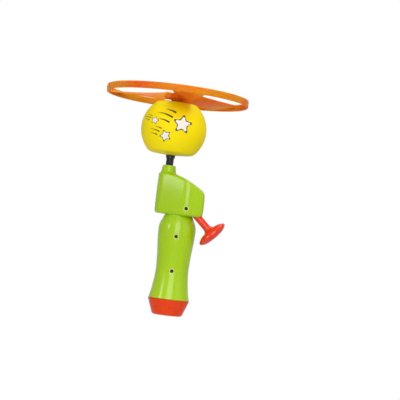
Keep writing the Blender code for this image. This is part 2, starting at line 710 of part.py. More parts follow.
def make_screw(name, x, z):
    """A shell screw, driven from the front, with its head under the recess's floor."""
    head_z = SCREW_SEAT_DEPTH + CLEARANCE
    tip = SCREW_SEAT_DEPTH - SCREW_LENGTH
    profile = [
        (SCREW_RADIUS / 2, tip),
        (SCREW_RADIUS, tip + 2 * SCREW_RADIUS),
        (SCREW_RADIUS, head_z),
        (SCREW_HEAD_RADIUS, head_z),
        (SCREW_HEAD_RADIUS, head_z + SCREW_HEAD_HEIGHT / 2),
        (SCREW_HEAD_RADIUS / 2, head_z + SCREW_HEAD_HEIGHT),
    ]
    place_mesh(name, turned(profile, sides=PIECE_SIDES // 2), STEEL, None, (x, 0, z), FACING_FRONT)


def make_bushes():
    """Flanged bushes that carry the spindle in the neck and at its foot."""
    bore = SPINDLE_RADIUS + CLEARANCE
    top = NECK_TOP_Z - CLEARANCE
    flange_z = ROOF_Z + 2 * CLEARANCE
    flange_top = flange_z + NECK_BUSH_FLANGE_HEIGHT
    flange_radius = NECK_BUSH_RADIUS + NECK_BUSH_FLANGE
    neck = [
        (bore, top),
        (bore, top - NECK_BUSH_LENGTH),
        (NECK_BUSH_RADIUS, top - NECK_BUSH_LENGTH),
        (NECK_BUSH_RADIUS, flange_z),
        (flange_radius, flange_z),
        (flange_radius, flange_top),
        (NECK_BUSH_RADIUS, flange_top),
        (NECK_BUSH_RADIUS, top),
    ]
    place_mesh("neck_bush", turned(neck, closed=True), NATURAL)
    bore = SPINDLE_FOOT_RADIUS + CLEARANCE
    flange_top = FOOT_FLANGE_Z + FOOT_BUSH_FLANGE_HEIGHT
    flange_radius = FOOT_BUSH_RADIUS + FOOT_BUSH_FLANGE
    foot = [
        (bore, flange_top),
        (bore, LOWER_WEB_Z),
        (FOOT_BUSH_RADIUS, LOWER_WEB_Z),
        (FOOT_BUSH_RADIUS, FOOT_FLANGE_Z),
        (flange_radius, FOOT_FLANGE_Z),
        (flange_radius, flange_top),
    ]
    place_mesh("foot_bush", turned(foot, closed=True), NATURAL)


def make_spindle():
    """The black drive spindle: foot, pinion seat with a clip groove, shaft, collar and hexagon tip."""
    foot_top = FOOT_FLANGE_Z + FOOT_BUSH_FLANGE_HEIGHT + CLEARANCE
    profile = [
        (SPINDLE_FOOT_RADIUS, LOWER_WEB_Z),
        (SPINDLE_FOOT_RADIUS, foot_top),
        (SPINDLE_PINION_SEAT_RADIUS, foot_top),
        (SPINDLE_PINION_SEAT_RADIUS, CLIP_GROOVE_Z),
        (CLIP_GROOVE_RADIUS, CLIP_GROOVE_Z),
        (CLIP_GROOVE_RADIUS, PINION_Z),
        (SPINDLE_PINION_SEAT_RADIUS, PINION_Z),
        (SPINDLE_PINION_SEAT_RADIUS, PINION_TOP + CLEARANCE),
        (SPINDLE_RADIUS, PINION_TOP + CLEARANCE),
        (SPINDLE_RADIUS, COLLAR_Z),
        (SPINDLE_COLLAR_RADIUS, COLLAR_Z),
        (SPINDLE_COLLAR_RADIUS, COLLAR_TOP),
    ]
    rings = [oval(radius, radius, z, PIECE_SIDES) for radius, z in profile]
    tip = COLLAR_TOP + DRIVE_HEX_LENGTH
    rings.append(hexagon(DRIVE_HEX_HALF_FLATS, COLLAR_TOP, PIECE_SIDES))
    rings.append(hexagon(DRIVE_HEX_HALF_FLATS, tip - DRIVE_HEX_HALF_FLATS / 2, PIECE_SIDES))
    rings.append(hexagon(DRIVE_HEX_HALF_FLATS / 2, tip, PIECE_SIDES))
    bm = bmesh.new()
    skin(bm, rings)
    place_mesh("drive_spindle", bm, BLACK)


def make_clip():
    """Open spring clip in the spindle's groove, under the pinion."""
    inner = CLIP_GROOVE_RADIUS + CLEARANCE
    clip_z = CLIP_GROOVE_Z + CLEARANCE
    first = CLIP_OPENING / 2
    last = math.tau - first
    outline = []
    for radius, start, end in ((inner + CLIP_WIDTH, first, last), (inner, last, first)):
        outline += arc(0.0, 0.0, radius, start, end, PIECE_SIDES)
    bm = bmesh.new()
    skin(bm, [[(x, y, z) for x, y in outline] for z in (clip_z, clip_z + CLIP_THICKNESS)])
    place_mesh("spindle_clip", bm, SPRING_STEEL)


def involute(angle):
    """Involute function of a pressure angle."""
    return math.tan(angle) - angle


def gear_outline(teeth):
    """Involute tooth outline, counter-clockwise, with a tooth on +X."""
    pitch_radius = GEAR_MODULE * teeth / 2
    base_radius = pitch_radius * math.cos(PRESSURE_ANGLE)
    root = pitch_radius - TOOTH_DEDENDUM * GEAR_MODULE
    tip = pitch_radius + TOOTH_ADDENDUM * GEAR_MODULE
    half_tooth = math.pi / (2 * teeth) - GEAR_BACKLASH / (2 * pitch_radius)
    low = max(root, base_radius)
    flank = [root] + [low + (tip - low) * i / TOOTH_STEPS for i in range(1, TOOTH_STEPS + 1)]
    right = []
    for radius in flank:
        lean = math.acos(min(base_radius / radius, 1.0))
        right.append((radius, half_tooth + involute(PRESSURE_ANGLE) - involute(lean)))
    outline = []
    for tooth in range(teeth):
        centre = math.tau * tooth / teeth
        for radius, half in right:
            outline.append((radius * math.cos(centre - half), radius * math.sin(centre - half)))
        for radius, half in reversed(right):
            outline.append((radius * math.cos(centre + half), radius * math.sin(centre + half)))
    return outline


def gear_prism(teeth, low, high):
    """A straight gear between two heights."""
    bm = bmesh.new()
    skin(bm, [[(x, y, z) for x, y in gear_outline(teeth)] for z in (low, high)])
    return bm


def make_pinion():
    """The pinion that the spool's gear drives, held on the spindle by the clip."""
    pinion = place_mesh("spindle_pinion", gear_prism(PINION_TEETH, PINION_Z, PINION_TOP), NATURAL)
    bore = SPINDLE_PINION_SEAT_RADIUS + CLEARANCE
    cutter = turned([(bore, PINION_Z - WALL), (bore, PINION_TOP + WALL)])
    combine(pinion, place_mesh("pinion_bore", cutter))


def make_spool(spool_axis):
    """Spool gear with its drum, and the cover, spring and winding that turn with it."""
    gear = place_mesh("spool_gear", gear_prism(GEAR_TEETH, GEAR_Z, GEAR_TOP), NATURAL, spool_axis)
    drum_inside = DRUM_RADIUS - DRUM_WALL
    drum_top = GEAR_Z + GEAR_THICKNESS / 2
    drum = turned(
        [(drum_inside, drum_top), (drum_inside, DRUM_Z), (DRUM_RADIUS, DRUM_Z), (DRUM_RADIUS, drum_top)],
        closed=True,
        sides=DRUM_SIDES,
    )
    combine(gear, place_mesh("drum", drum, None, spool_axis), "UNION")
    bore = AXLE_RADIUS + CLEARANCE
    cutter = turned([(bore, GEAR_Z - WALL), (bore, GEAR_TOP + WALL)])
    combine(gear, place_mesh("gear_bore", cutter, None, spool_axis))

    cover_top = COVER_Z + COVER_THICKNESS
    spigot = drum_inside - CLEARANCE
    spigot_top = cover_top + COVER_SPIGOT_HEIGHT
    cover = [
        (bore, spigot_top),
        (bore, COVER_Z),
        (DRUM_RADIUS, COVER_Z),
        (DRUM_RADIUS, cover_top),
        (spigot, cover_top),
        (spigot, spigot_top),
    ]
    place_mesh("spring_cover", turned(cover, closed=True), NATURAL, spool_axis)

    make_return_spring(spool_axis, spigot_top + CLEARANCE, GEAR_Z - CLEARANCE, drum_inside)
    make_winding(spool_axis)


def make_axle(spool_axis):
    """The fixed axle that the spool turns on, headed over the upper web, and the washer under that web."""
    head_z = UPPER_WEB_TOP + CLEARANCE
    axle = [
        (AXLE_RADIUS, AXLE_FOOT_Z),
        (AXLE_RADIUS, head_z),
        (AXLE_HEAD_RADIUS, head_z),
        (AXLE_HEAD_RADIUS, head_z + AXLE_HEAD_HEIGHT),
    ]
    place_mesh("spool_axle", turned(axle), STEEL, spool_axis)
    bore = AXLE_RADIUS + CLEARANCE
    washer = [
        (bore, WASHER_Z + WASHER_THICKNESS),
        (bore, WASHER_Z),
        (WASHER_RADIUS, WASHER_Z),
        (WASHER_RADIUS, WASHER_Z + WASHER_THICKNESS),
    ]
    place_mesh("spool_washer", turned(washer, closed=True), STEEL, spool_axis)


def make_return_spring(spool_axis, low, high, drum_inside):
    """Flat spiral spring between the axle and the drum's wall."""
    half = SPRING_STRIP / 2
    start = AXLE_RADIUS + CLEARANCE + half
    end = drum_inside - CLEARANCE - half
    steps = SPRING_TURNS * SPRING_STEPS
    rings = []
    for i in range(steps + 1):
        angle = math.tau * i / SPRING_STEPS
        radius = start + (end - start) * i / steps
        ray = Vector((math.cos(angle), math.sin(angle), 0))
        corners = ((radius - half, low), (radius + half, low), (radius + half, high), (radius - half, high))
        rings.append([tuple(ray * r + Vector((0, 0, z))) for r, z in corners])
    bm = bmesh.new()
    skin(bm, rings)
    place_mesh("return_spring", bm, SPRING_STEEL, spool_axis)
    print("return spring: least gap between turns", round((end - start) / SPRING_TURNS - SPRING_STRIP, 6))


def make_winding(spool_axis):
    """The cord's turns on the drum, lowest turn first, with straight ends."""
    count = round(WINDING_TURNS * LOOP_STEPS)
    points = []
    for i in range(count + 1):
        angle = -math.pi / 2 - math.tau * i / LOOP_STEPS
        height = WINDING_Z + WINDING_PITCH * i / LOOP_STEPS
        points.append(Vector((WINDING_RADIUS * math.cos(angle), WINDING_RADIUS * math.sin(angle), height)))
    place_tube("cord_winding", points, CORD_RADIUS, 1, WHITE_CORD, spool_axis)
    gaps = [
        (points[i + LOOP_STEPS] - points[i]).length - 2 * CORD_RADIUS
        for i in range(count + 1 - LOOP_STEPS)
    ]
    print("cord winding: least gap between turns", round(min(gaps), 6))


def make_pull(pull_axis):
    """Cord outlet, cord run, knot, and the pull handle with its plug, along the pull axis."""
    seat = outlet_seat()
    flange_z = seat + CLEARANCE
    flange_top = flange_z + OUTLET_FLANGE_HEIGHT
    flange_radius = OUTLET_RADIUS + OUTLET_FLANGE
    outlet = [
        (CORD_BORE_RADIUS, flange_top),
        (CORD_BORE_RADIUS, seat - OUTLET_LENGTH),
        (OUTLET_RADIUS, seat - OUTLET_LENGTH),
        (OUTLET_RADIUS, flange_z),
        (flange_radius, flange_z),
        (flange_radius, flange_top),
    ]
    place_mesh("cord_outlet", turned(outlet, closed=True), NATURAL, pull_axis)

    end_edge = STEM_RADIUS / 6
    pocket_z = TOGGLE_TOP - KNOT_POCKET_DEPTH
    rim_z = STEM_LENGTH + (TOGGLE_THICKNESS - TOGGLE_RIM) / 2
    rim_edge = TOGGLE_RIM / 4
    swell = TOGGLE_HALF_WIDTH - STEM_RADIUS
    stretch = TOGGLE_HALF_LENGTH - STEM_RADIUS
    shoulder_length = STEM_RADIUS + stretch * TOGGLE_SHOULDER_SWELL
    shoulder_width = STEM_RADIUS + swell * TOGGLE_SHOULDER_SWELL
    sections = [
        (CORD_BORE_RADIUS, CORD_BORE_RADIUS, pocket_z),
        (CORD_BORE_RADIUS, CORD_BORE_RADIUS, -PULL_DEPTH),
        (STEM_RADIUS - end_edge, STEM_RADIUS - end_edge, -PULL_DEPTH),
        (STEM_RADIUS, STEM_RADIUS, end_edge - PULL_DEPTH),
        (STEM_RADIUS, STEM_RADIUS, STEM_LENGTH - STEM_RADIUS / 2),
        (STEM_RADIUS + stretch * TOGGLE_ROOT_SWELL, STEM_RADIUS + swell * TOGGLE_ROOT_SWELL, STEM_LENGTH),
        (shoulder_length, shoulder_width, STEM_LENGTH + rim_edge),
        (TOGGLE_HALF_LENGTH - rim_edge, TOGGLE_HALF_WIDTH - rim_edge, rim_z),
        (TOGGLE_HALF_LENGTH, TOGGLE_HALF_WIDTH, rim_z + rim_edge),
        (TOGGLE_HALF_LENGTH, TOGGLE_HALF_WIDTH, rim_z + TOGGLE_RIM - rim_edge),
        (TOGGLE_HALF_LENGTH - rim_edge, TOGGLE_HALF_WIDTH - rim_edge, rim_z + TOGGLE_RIM),
        (shoulder_length, shoulder_width, TOGGLE_TOP - rim_edge / 2),
        (KNOT_POCKET_RADIUS + rim_edge, KNOT_POCKET_RADIUS + rim_edge, TOGGLE_TOP),
        (KNOT_POCKET_RADIUS, KNOT_POCKET_RADIUS, TOGGLE_TOP),
        (KNOT_POCKET_RADIUS, KNOT_POCKET_RADIUS, pocket_z),
    ]
    bm = bmesh.new()
    skin(bm, [oval(x, y, z, PIECE_SIDES) for x, y, z in sections], closed=True)
    place_mesh("pull_handle", bm, RED_ORANGE, pull_axis)

    plug_radius = KNOT_POCKET_RADIUS - CLEARANCE
    plug = turned([(plug_radius, TOGGLE_TOP - PLUG_THICKNESS), (plug_radius, TOGGLE_TOP)])
    place_mesh("handle_plug", plug, RED_ORANGE, pull_axis)

    knot_z = pocket_z + CLEARANCE + KNOT_RADIUS
    ball = arc(0.0, knot_z, KNOT_RADIUS, -KNOT_END_TURN, KNOT_END_TURN, KNOT_STEPS)
    place_mesh("cord_knot", turned(ball, sides=PIECE_SIDES // 2), WHITE_CORD, pull_axis)

    winding_outside = WINDING_RADIUS + CORD_RADIUS
    leave_x = math.sqrt((winding_outside + CLEARANCE + CORD_RADIUS) ** 2 - CORD_Y**2)
    start = (SPOOL_X + leave_x - PULL_SEAT_X) / math.cos(PULL_SLOPE)
    count = math.ceil((pocket_z - start) / (CORD_STEP_DIAMETERS * 2 * CORD_RADIUS))
    run = [(0.0, 0.0, start + (pocket_z - start) * i / count) for i in range(count + 1)]
    place_tube("pull_cord", run, CORD_RADIUS, 2, WHITE_CORD, pull_axis)


def head_profile(inset, opening):
    """Turned profile of the ball head, moved inwards: a sagging bottom, round sides and a flat top."""
    radius = HEAD_RADIUS - inset
    foot_edge = max(HEAD_FOOT_RADIUS - inset, CLEARANCE)
    top_edge = max(HEAD_EDGE_RADIUS - inset, CLEARANCE)
    low = HEAD_Z + inset
    high = HEAD_TOP - inset
    centre = (low + high) / 2
    bottom = low + HEAD_SAG

    def rounding(drop, edge):
        fillet_radius = math.sqrt((radius - edge) ** 2 - drop**2)
        return fillet_radius, math.atan2(drop, fillet_radius)

    lower_radius, lower_meet = rounding(centre - bottom - foot_edge, foot_edge)
    upper_radius, upper_meet = rounding(high - centre - top_edge, top_edge)
    lower = arc(lower_radius, bottom + foot_edge, foot_edge, -math.pi / 2, -lower_meet, EDGE_STEPS)
    ball = arc(0.0, centre, radius, -lower_meet, upper_meet, HEAD_STEPS)
    upper = arc(upper_radius, high - top_edge, top_edge, upper_meet, math.pi / 2, EDGE_STEPS)
    return [(opening, low)] + lower + ball[1:-1] + upper + [(opening, high)]


def make_head():
    """Hollow ball head, open at both ends for the sleeve."""
    opening = SLEEVE_RADIUS + CLEARANCE
    outside = head_profile(0.0, opening)
    inside = head_profile(HEAD_WALL, opening)
    ball = turned(outside + list(reversed(inside)), closed=True, sides=HEAD_SIDES)
    place_mesh("head_ball", ball, YELLOW)


def make_sleeve():
    """Sleeve through the head: a hexagon socket for the spindle, a flange under the head's top, a spigot."""
    socket_top = COLLAR_TOP + DRIVE_HEX_LENGTH + CLEARANCE
    flange_z = SLEEVE_FLANGE_TOP - SLEEVE_FLANGE_THICKNESS
    pilot = HUB_SCREW_RADIUS + CLEARANCE
    pilot_z = HUB_SCREW_SEAT_Z - HUB_SCREW_LENGTH - CLEARANCE
    rings = [hexagon(DRIVE_SOCKET_HALF_FLATS, z, PIECE_SIDES) for z in (socket_top, SLEEVE_Z)]
    profile = [
        (SLEEVE_RADIUS, SLEEVE_Z),
        (SLEEVE_RADIUS, flange_z),
        (SLEEVE_FLANGE_RADIUS, flange_z),
        (SLEEVE_FLANGE_RADIUS, SLEEVE_FLANGE_TOP),
        (SLEEVE_RADIUS, SLEEVE_FLANGE_TOP),
        (SLEEVE_RADIUS, SLEEVE_TOP),
        (pilot, SLEEVE_TOP),
        (pilot, pilot_z),
    ]
    rings += [oval(radius, radius, z, PIECE_SIDES) for radius, z in profile]
    bm = bmesh.new()
    skin(bm, rings)
    place_mesh("drive_sleeve", bm, BLACK)


def ribbed_ring(radius, z):
    """A level ring with the hub's ribs standing on it."""
    count = HUB_RIBS * POINTS_PER_RIB
    points = []
    for i in range(count):
        reach = radius + (HUB_RIB_HEIGHT if i % POINTS_PER_RIB in (0, 1) else 0.0)
        angle = math.tau * (i - 0.5) / count
        points.append((reach * math.cos(angle), reach * math.sin(angle), z))
    return points


def make_hub():
    """The propeller's hub: a collar, a ribbed body, a socket below and a screw recess above."""
    count = len(ribbed_ring(HUB_RADIUS, HUB_Z))
    edge = HUB_RIB_HEIGHT
    cap_recess = HUB_CAP_RADIUS + CLEARANCE
    head_recess = HUB_SCREW_HEAD_RADIUS + CLEARANCE
    screw_hole = HUB_SCREW_RADIUS + CLEARANCE
    socket = SLEEVE_RADIUS + CLEARANCE
    collar_top = HUB_Z + HUB_COLLAR_HEIGHT
    body_z = collar_top + HUB_FLANK_HEIGHT
    recess_z = HUB_CAP_Z - CLEARANCE
    seat_z = HUB_SCREW_SEAT_Z
    socket_top = SLEEVE_TOP + CLEARANCE

    def plain_ring(radius, z):
        turn = math.tau / count
        return [
            (radius * math.cos((i - 0.5) * turn), radius * math.sin((i - 0.5) * turn), z)
            for i in range(count)
        ]

    rings = [
        plain_ring(socket, socket_top),
        plain_ring(socket, HUB_Z),
        plain_ring(HUB_COLLAR_RADIUS, HUB_Z),
        plain_ring(HUB_COLLAR_RADIUS, collar_top),
        ribbed_ring(HUB_RADIUS - edge, body_z),
        ribbed_ring(HUB_RADIUS, body_z + edge),
        ribbed_ring(HUB_RADIUS, HUB_TOP - edge),
        ribbed_ring(HUB_RADIUS - edge, HUB_TOP),
        plain_ring(cap_recess, HUB_TOP),
        plain_ring(cap_recess, recess_z),
        plain_ring(head_recess, recess_z),
        plain_ring(head_recess, seat_z),
        plain_ring(screw_hole, seat_z),
        plain_ring(screw_hole, socket_top),
    ]
    bm = bmesh.new()
    skin(bm, rings, closed=True)
    return place_mesh("propeller", bm, ORANGE)


def blade_section(radius, angle):
    """Outline of a blade at a radius, wrapped on that radius, its leading edge raised by the advance."""
    share = (radius - HUB_RADIUS) / (PROPELLER_RADIUS - HUB_RADIUS)
    widening = max(share, 0.0) ** BLADE_WIDENING
    chord = BLADE_ROOT_CHORD + (BLADE_TIP_CHORD - BLADE_ROOT_CHORD) * widening
    slope = BLADE_ADVANCE / max(radius, BLADE_STEEPEST_RADIUS)
    upper = []
    lower = []
    for i in range(BLADE_STATIONS):
        across = i / (BLADE_STATIONS - 1) * 2 - 1
        run = across * chord / 2
        half = (BLADE_EDGE_THICKNESS + (BLADE_THICKNESS - BLADE_EDGE_THICKNESS) * (1 - across**2)) / 2
        turn = angle - run / radius
        for side, points in ((half, upper), (-half, lower)):
            points.append((radius * math.cos(turn), radius * math.sin(turn), BLADE_Z + run * slope + side))
    return upper + list(reversed(lower))


def make_propeller():
    """Hub, three blades and hoop in one moulding."""
    propeller = make_hub()
    hoop_inside = PROPELLER_RADIUS - HOOP_THICKNESS
    half = HOOP_HEIGHT / 2
    edge = HOOP_THICKNESS / 4
    hoop = turned(
        [
            (hoop_inside, BLADE_Z + half - edge),
            (hoop_inside, BLADE_Z - half + edge),
            (hoop_inside + edge, BLADE_Z - half),
            (PROPELLER_RADIUS - edge, BLADE_Z - half),
            (PROPELLER_RADIUS, BLADE_Z - half + edge),
            (PROPELLER_RADIUS, BLADE_Z + half - edge),
            (PROPELLER_RADIUS - edge, BLADE_Z + half),
            (hoop_inside + edge, BLADE_Z + half),
        ],
        closed=True,
        sides=HOOP_SIDES,
    )
    combine(propeller, place_mesh("hoop", hoop), "UNION")
    root = HUB_RADIUS - 2 * HUB_RIB_HEIGHT
    tip = PROPELLER_RADIUS - HOOP_THICKNESS / 2
    for number, angle in enumerate(BLADE_ANGLES, start=1):
        radii = [root + (tip - root) * i / BLADE_STEPS for i in range(BLADE_STEPS + 1)]
        bm = bmesh.new()
        loops = skin(bm, [blade_section(radius, angle) for radius in radii], caps=False)
        pair_cap(bm, loops[0])
        pair_cap(bm, loops[-1])
        combine(propeller, place_mesh(f"blade_{number}", bm), "UNION")


def make_hub_screw():
    """The screw that holds the propeller's hub on the sleeve, and the domed cap over it."""
    head_z = HUB_SCREW_SEAT_Z + CLEARANCE
    screw = [
        (HUB_SCREW_RADIUS, HUB_SCREW_SEAT_Z - HUB_SCREW_LENGTH),
        (HUB_SCREW_RADIUS, head_z),
        (HUB_SCREW_HEAD_RADIUS, head_z),
        (HUB_SCREW_HEAD_RADIUS, head_z + HUB_SCREW_HEAD_HEIGHT),
    ]
    place_mesh("hub_screw", turned(screw), STEEL)
    dome_radius = (HUB_CAP_RADIUS**2 + HUB_CAP_DOME**2) / (2 * HUB_CAP_DOME)
    dome_turn = math.asin(HUB_CAP_RADIUS / dome_radius)
    dome_z = HUB_TOP + HUB_CAP_DOME - dome_radius
    start = math.pi / 2 - dome_turn
    end = math.pi / 2 - dome_turn / (EDGE_STEPS + 1)
    cap = [(HUB_CAP_RADIUS, HUB_CAP_Z)] + arc(0.0, dome_z, dome_radius, start, end, EDGE_STEPS)
    place_mesh("hub_cap", turned(cap), RED_ORANGE)


def main():
    """Make every piece of the toy."""
    clear_scene()
    spool_axis = place_axis("spool_axis", (SPOOL_X, 0, 0))
    pull_turn = (0, math.pi / 2 + PULL_SLOPE, 0)
    pull_axis = place_axis("pull_axis", (PULL_SEAT_X, CORD_Y, PULL_SEAT_Z), pull_turn)
    make_shells(pull_axis)
    make_base_cap()
    for name, x, z, _ in screw_places():
        make_screw(name, x, z)
    make_bushes()
    make_spindle()
    make_clip()
    make_pinion()
    make_spool(spool_axis)
    make_axle(spool_axis)
    make_pull(pull_axis)
    make_head()
    make_sleeve()
    make_propeller()
    make_hub_screw()


main()
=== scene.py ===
"""Visible pieces of a flying propeller launcher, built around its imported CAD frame.

Metres, +Z up. The origin is on the spindle's axis at the height of the base. The front looks along -Y.
"""

import math

import bmesh
import bpy
from bpy.props import FloatProperty, FloatVectorProperty, IntProperty, PointerProperty
from mathutils import Matrix, Vector


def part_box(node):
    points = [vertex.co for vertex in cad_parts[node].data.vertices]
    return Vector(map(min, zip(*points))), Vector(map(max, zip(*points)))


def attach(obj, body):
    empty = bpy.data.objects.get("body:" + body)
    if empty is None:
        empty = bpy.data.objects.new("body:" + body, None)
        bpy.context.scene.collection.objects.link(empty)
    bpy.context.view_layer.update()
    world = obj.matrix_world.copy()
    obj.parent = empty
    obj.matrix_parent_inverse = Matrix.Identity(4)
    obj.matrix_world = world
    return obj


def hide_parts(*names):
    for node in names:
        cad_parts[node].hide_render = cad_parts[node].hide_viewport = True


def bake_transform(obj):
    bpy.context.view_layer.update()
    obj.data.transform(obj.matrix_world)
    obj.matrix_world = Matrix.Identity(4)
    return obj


bl_info = {
    "name": "Flying Propeller Launcher",
    "version": (1, 0, 0),
    "blender": (4, 5, 0),
    "location": "View3D > Sidebar > Launcher",
    "description": "Builds the visible pieces of a pull-cord propeller launcher around its CAD frame",
    "category": "Add Mesh",
}

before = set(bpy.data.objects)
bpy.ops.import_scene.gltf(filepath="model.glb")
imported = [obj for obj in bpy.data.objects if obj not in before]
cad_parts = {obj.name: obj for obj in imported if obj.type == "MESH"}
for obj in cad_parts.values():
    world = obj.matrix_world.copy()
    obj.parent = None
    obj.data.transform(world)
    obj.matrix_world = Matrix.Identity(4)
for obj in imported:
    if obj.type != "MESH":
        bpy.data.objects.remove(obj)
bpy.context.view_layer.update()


def low_z(node):
    """Lowest height of a frame node."""
    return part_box(node)[0].z


def high_z(node):
    """Highest height of a frame node."""
    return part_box(node)[1].z


# Fits and walls, as in the frame
CLEARANCE = 0.0003
WALL = 0.0018
SHARP_ANGLE = math.radians(38.0)
FACING_FRONT = Matrix.Rotation(math.pi / 2, 4, "X")

# Base cap and grip: share of the grip's length, half width along X, half depth along Y
CAP_HEIGHT = low_z("front_shell") - CLEARANCE / 2
CAP_FOOT = (0.0138, 0.0121)
CAP_EDGE_RADIUS = 0.0028
CAP_LIP = 0.0005
CAP_FLOOR = 0.0022
CAP_SPIGOT_WALL = 0.0016
CAP_SPIGOT_LEAD = 0.0005
CAP_SPIGOT_TOP = high_z("base_cap")
GRIP_X = 0.0163
GRIP_LENGTH = 0.0880
GRIP_RIM_RADIUS = 0.0004
GRIP_SECTIONS = (
    (0.00, 0.0214, 0.0188),
    (0.13, 0.0191, 0.0168),
    (0.33, 0.0173, 0.0152),
    (0.52, 0.0179, 0.0156),
    (0.75, 0.0195, 0.0166),
    (0.88, 0.0191, 0.0162),
    (1.00, 0.0145, 0.0134),
)

# Gear case, neck and the webs inside
SPOOL_X = 0.0216
CASE_Z = CAP_HEIGHT + GRIP_LENGTH
CASE_SMALL_RADIUS = 0.0102
CASE_LARGE_RADIUS = 0.0183
CASE_FACE_SHIFT = 0.0010
CASE_END_SHIFT = 0.0014
CASE_RIGHT_X = SPOOL_X + CASE_LARGE_RADIUS + CASE_END_SHIFT
CASE_FOLD_TURN = math.radians(12.0)
CASE_FOLD_RADIUS = 0.0140
CASE_CORNER_RADIUS = 0.0050
CASE_EDGE_RADIUS = 0.0026
CASE_DRAFT = 0.0004
TONGUE_REACH = 0.0008
TONGUE_INSET = 0.0011
CASE_HEIGHT = 0.0435
ROOF_Z = CASE_Z + CASE_HEIGHT
ROOF_EDGE_RADIUS = 0.0036
ROOF_GEAR_GAP = 0.0009
ROOF_DROP = ROOF_Z - high_z("spool_gear") - ROOF_GEAR_GAP
ROOF_CURVE = 1.6
NECK_TOP_Z = high_z("front_shell")
NECK_BASE_RADIUS = 0.0079
NECK_TOP_RADIUS = 0.0067
NECK_FOOT_ROUNDING = 0.0003
NECK_RIM_ROUNDING = 0.0007
NECK_MOUTH = 0.0004
NECK_BUSH_RADIUS = 0.0052
NECK_GROOVE_HEIGHT = 0.0020
WEB_THICKNESS = 0.0018
LOWER_WEB_Z = low_z("foot_bush")
LOWER_WEB_TOP = LOWER_WEB_Z + WEB_THICKNESS
LOWER_WEB_HALF_WIDTH = 0.0080
UPPER_WEB_Z = high_z("spool_washer") + CLEARANCE
UPPER_WEB_TOP = UPPER_WEB_Z + WEB_THICKNESS
UPPER_WEB_START_X = 0.0090
FOOT_BUSH_RADIUS = 0.0040
AXLE_RADIUS = 0.0015

# Screws that close the two shells
SCREW_NODES = ("case_screw", "lower_grip_screw", "upper_grip_screw")
SCREW_RADIUS = 0.0009
SCREW_HEAD_RADIUS = 0.0016
SCREW_HEAD_HEIGHT = 0.0014
SCREW_LENGTH = 0.0180
SCREW_SEAT_DEPTH = 0.0090
SCREW_CHAMFER = 0.0007
# RING_BLUR is the soft edge of the painted highlight ring round each screw recess
RING_BLUR = 0.0003
BOSS_RADIUS = 0.0029

# Thread and tip as shares of a screw's radius, and its slots as a share of the head's
THREAD_TURNS = 16.0
THREAD_START = 0.55
THREAD_RIDGE = 0.14
SCREW_TIP = 0.5
SLOT_SPAN = 1.3

# Spindle
SPINDLE_RADIUS = 0.00405
SPINDLE_SEAT_RADIUS = 0.0034
SPINDLE_FOOT_RADIUS = 0.0024
SPINDLE_FOOT_TOP = high_z("foot_bush") + CLEARANCE
SPINDLE_COLLAR_RADIUS = 0.0049
SPINDLE_COLLAR_HEIGHT = 0.0014
SPINDLE_ROUNDING = 0.00015
DRIVE_HEX_HALF_FLATS = 0.0033
DRIVE_HEX_LENGTH = 0.0220
HEX_TIP_Z = high_z("drive_spindle")
COLLAR_TOP = HEX_TIP_Z - DRIVE_HEX_LENGTH
COLLAR_Z = COLLAR_TOP - SPINDLE_COLLAR_HEIGHT
PINION_Z = low_z("spindle_pinion")
PINION_TOP = high_z("spindle_pinion")
CLIP_GROOVE_RADIUS = 0.0029
CLIP_GROOVE_Z = low_z("spindle_clip") - CLEARANCE

# Spool, spring, cord and pull handle
SPRING_STRIP = 0.0003
SPRING_INNER_RADIUS = 0.00195
SPRING_OUTER_RADIUS = 0.00815
SPRING_TURNS = 5.0
CORD_RADIUS = 0.00045
WINDING_RADIUS = 0.01075
WINDING_Z = low_z("spool_gear") + CORD_RADIUS
WINDING_TURNS = 4.5
WINDING_PITCH = 0.00136
PULL_SEAT = Vector((0.0362097, -WINDING_RADIUS, CASE_Z + CLEARANCE))
PULL_SLOPE = math.atan2(WINDING_Z - PULL_SEAT.z, PULL_SEAT.x - SPOOL_X)
PULL_FRAME = Matrix.Translation(PULL_SEAT) @ Matrix.Rotation(math.pi / 2 + PULL_SLOPE, 4, "Y")
CORD_START = -0.01279
CORD_BORE_RADIUS = 0.0009
CORD_STRETCH = 0.0012
STEM_RADIUS = 0.0039
STEM_LENGTH = 0.0175
STEM_END = -0.0040
OUTLET_RADIUS = 0.0019
OUTLET_FLANGE = 0.0007
OUTLET_SEAT = STEM_END - 2 * CLEARANCE - OUTLET_FLANGE
OUTLET_LENGTH = 0.0034
OUTLET_BOSS_WALL = 0.0012
OUTLET_BOSS_RADIUS = STEM_RADIUS + 2 * CLEARANCE + OUTLET_BOSS_WALL
TOGGLE_HALF_LENGTH = 0.0167
TOGGLE_HALF_WIDTH = 0.0110
TOGGLE_THICKNESS = 0.0108
TOGGLE_TOP = STEM_LENGTH + TOGGLE_THICKNESS
KNOT_POCKET_RADIUS = 0.0030
KNOT_POCKET_DEPTH = 0.0062
KNOT_POCKET_Z = TOGGLE_TOP - KNOT_POCKET_DEPTH
KNOT_RADIUS = 0.0018
KNOT_SPREAD = 2.2
PLUG_THICKNESS = 0.0015
PLUG_ROUNDING = 0.0004
PLUG_MIDDLE = 0.0003

# Outline of the pull handle's flange: half length, height over the stem's end, rounding
FLANGE_OUTLINE = (
    (0.0109, 0.0012, 0.0120),
    (0.0160, 0.0040, 0.0010),
    (TOGGLE_HALF_LENGTH, 0.0050, 0.0003),
    (TOGGLE_HALF_LENGTH, 0.0064, 0.0008),
    (0.0153, 0.0079, 0.0060),
    (0.0109, 0.0100, 0.0200),
    (0.0042, TOGGLE_THICKNESS, 0.0200),
)

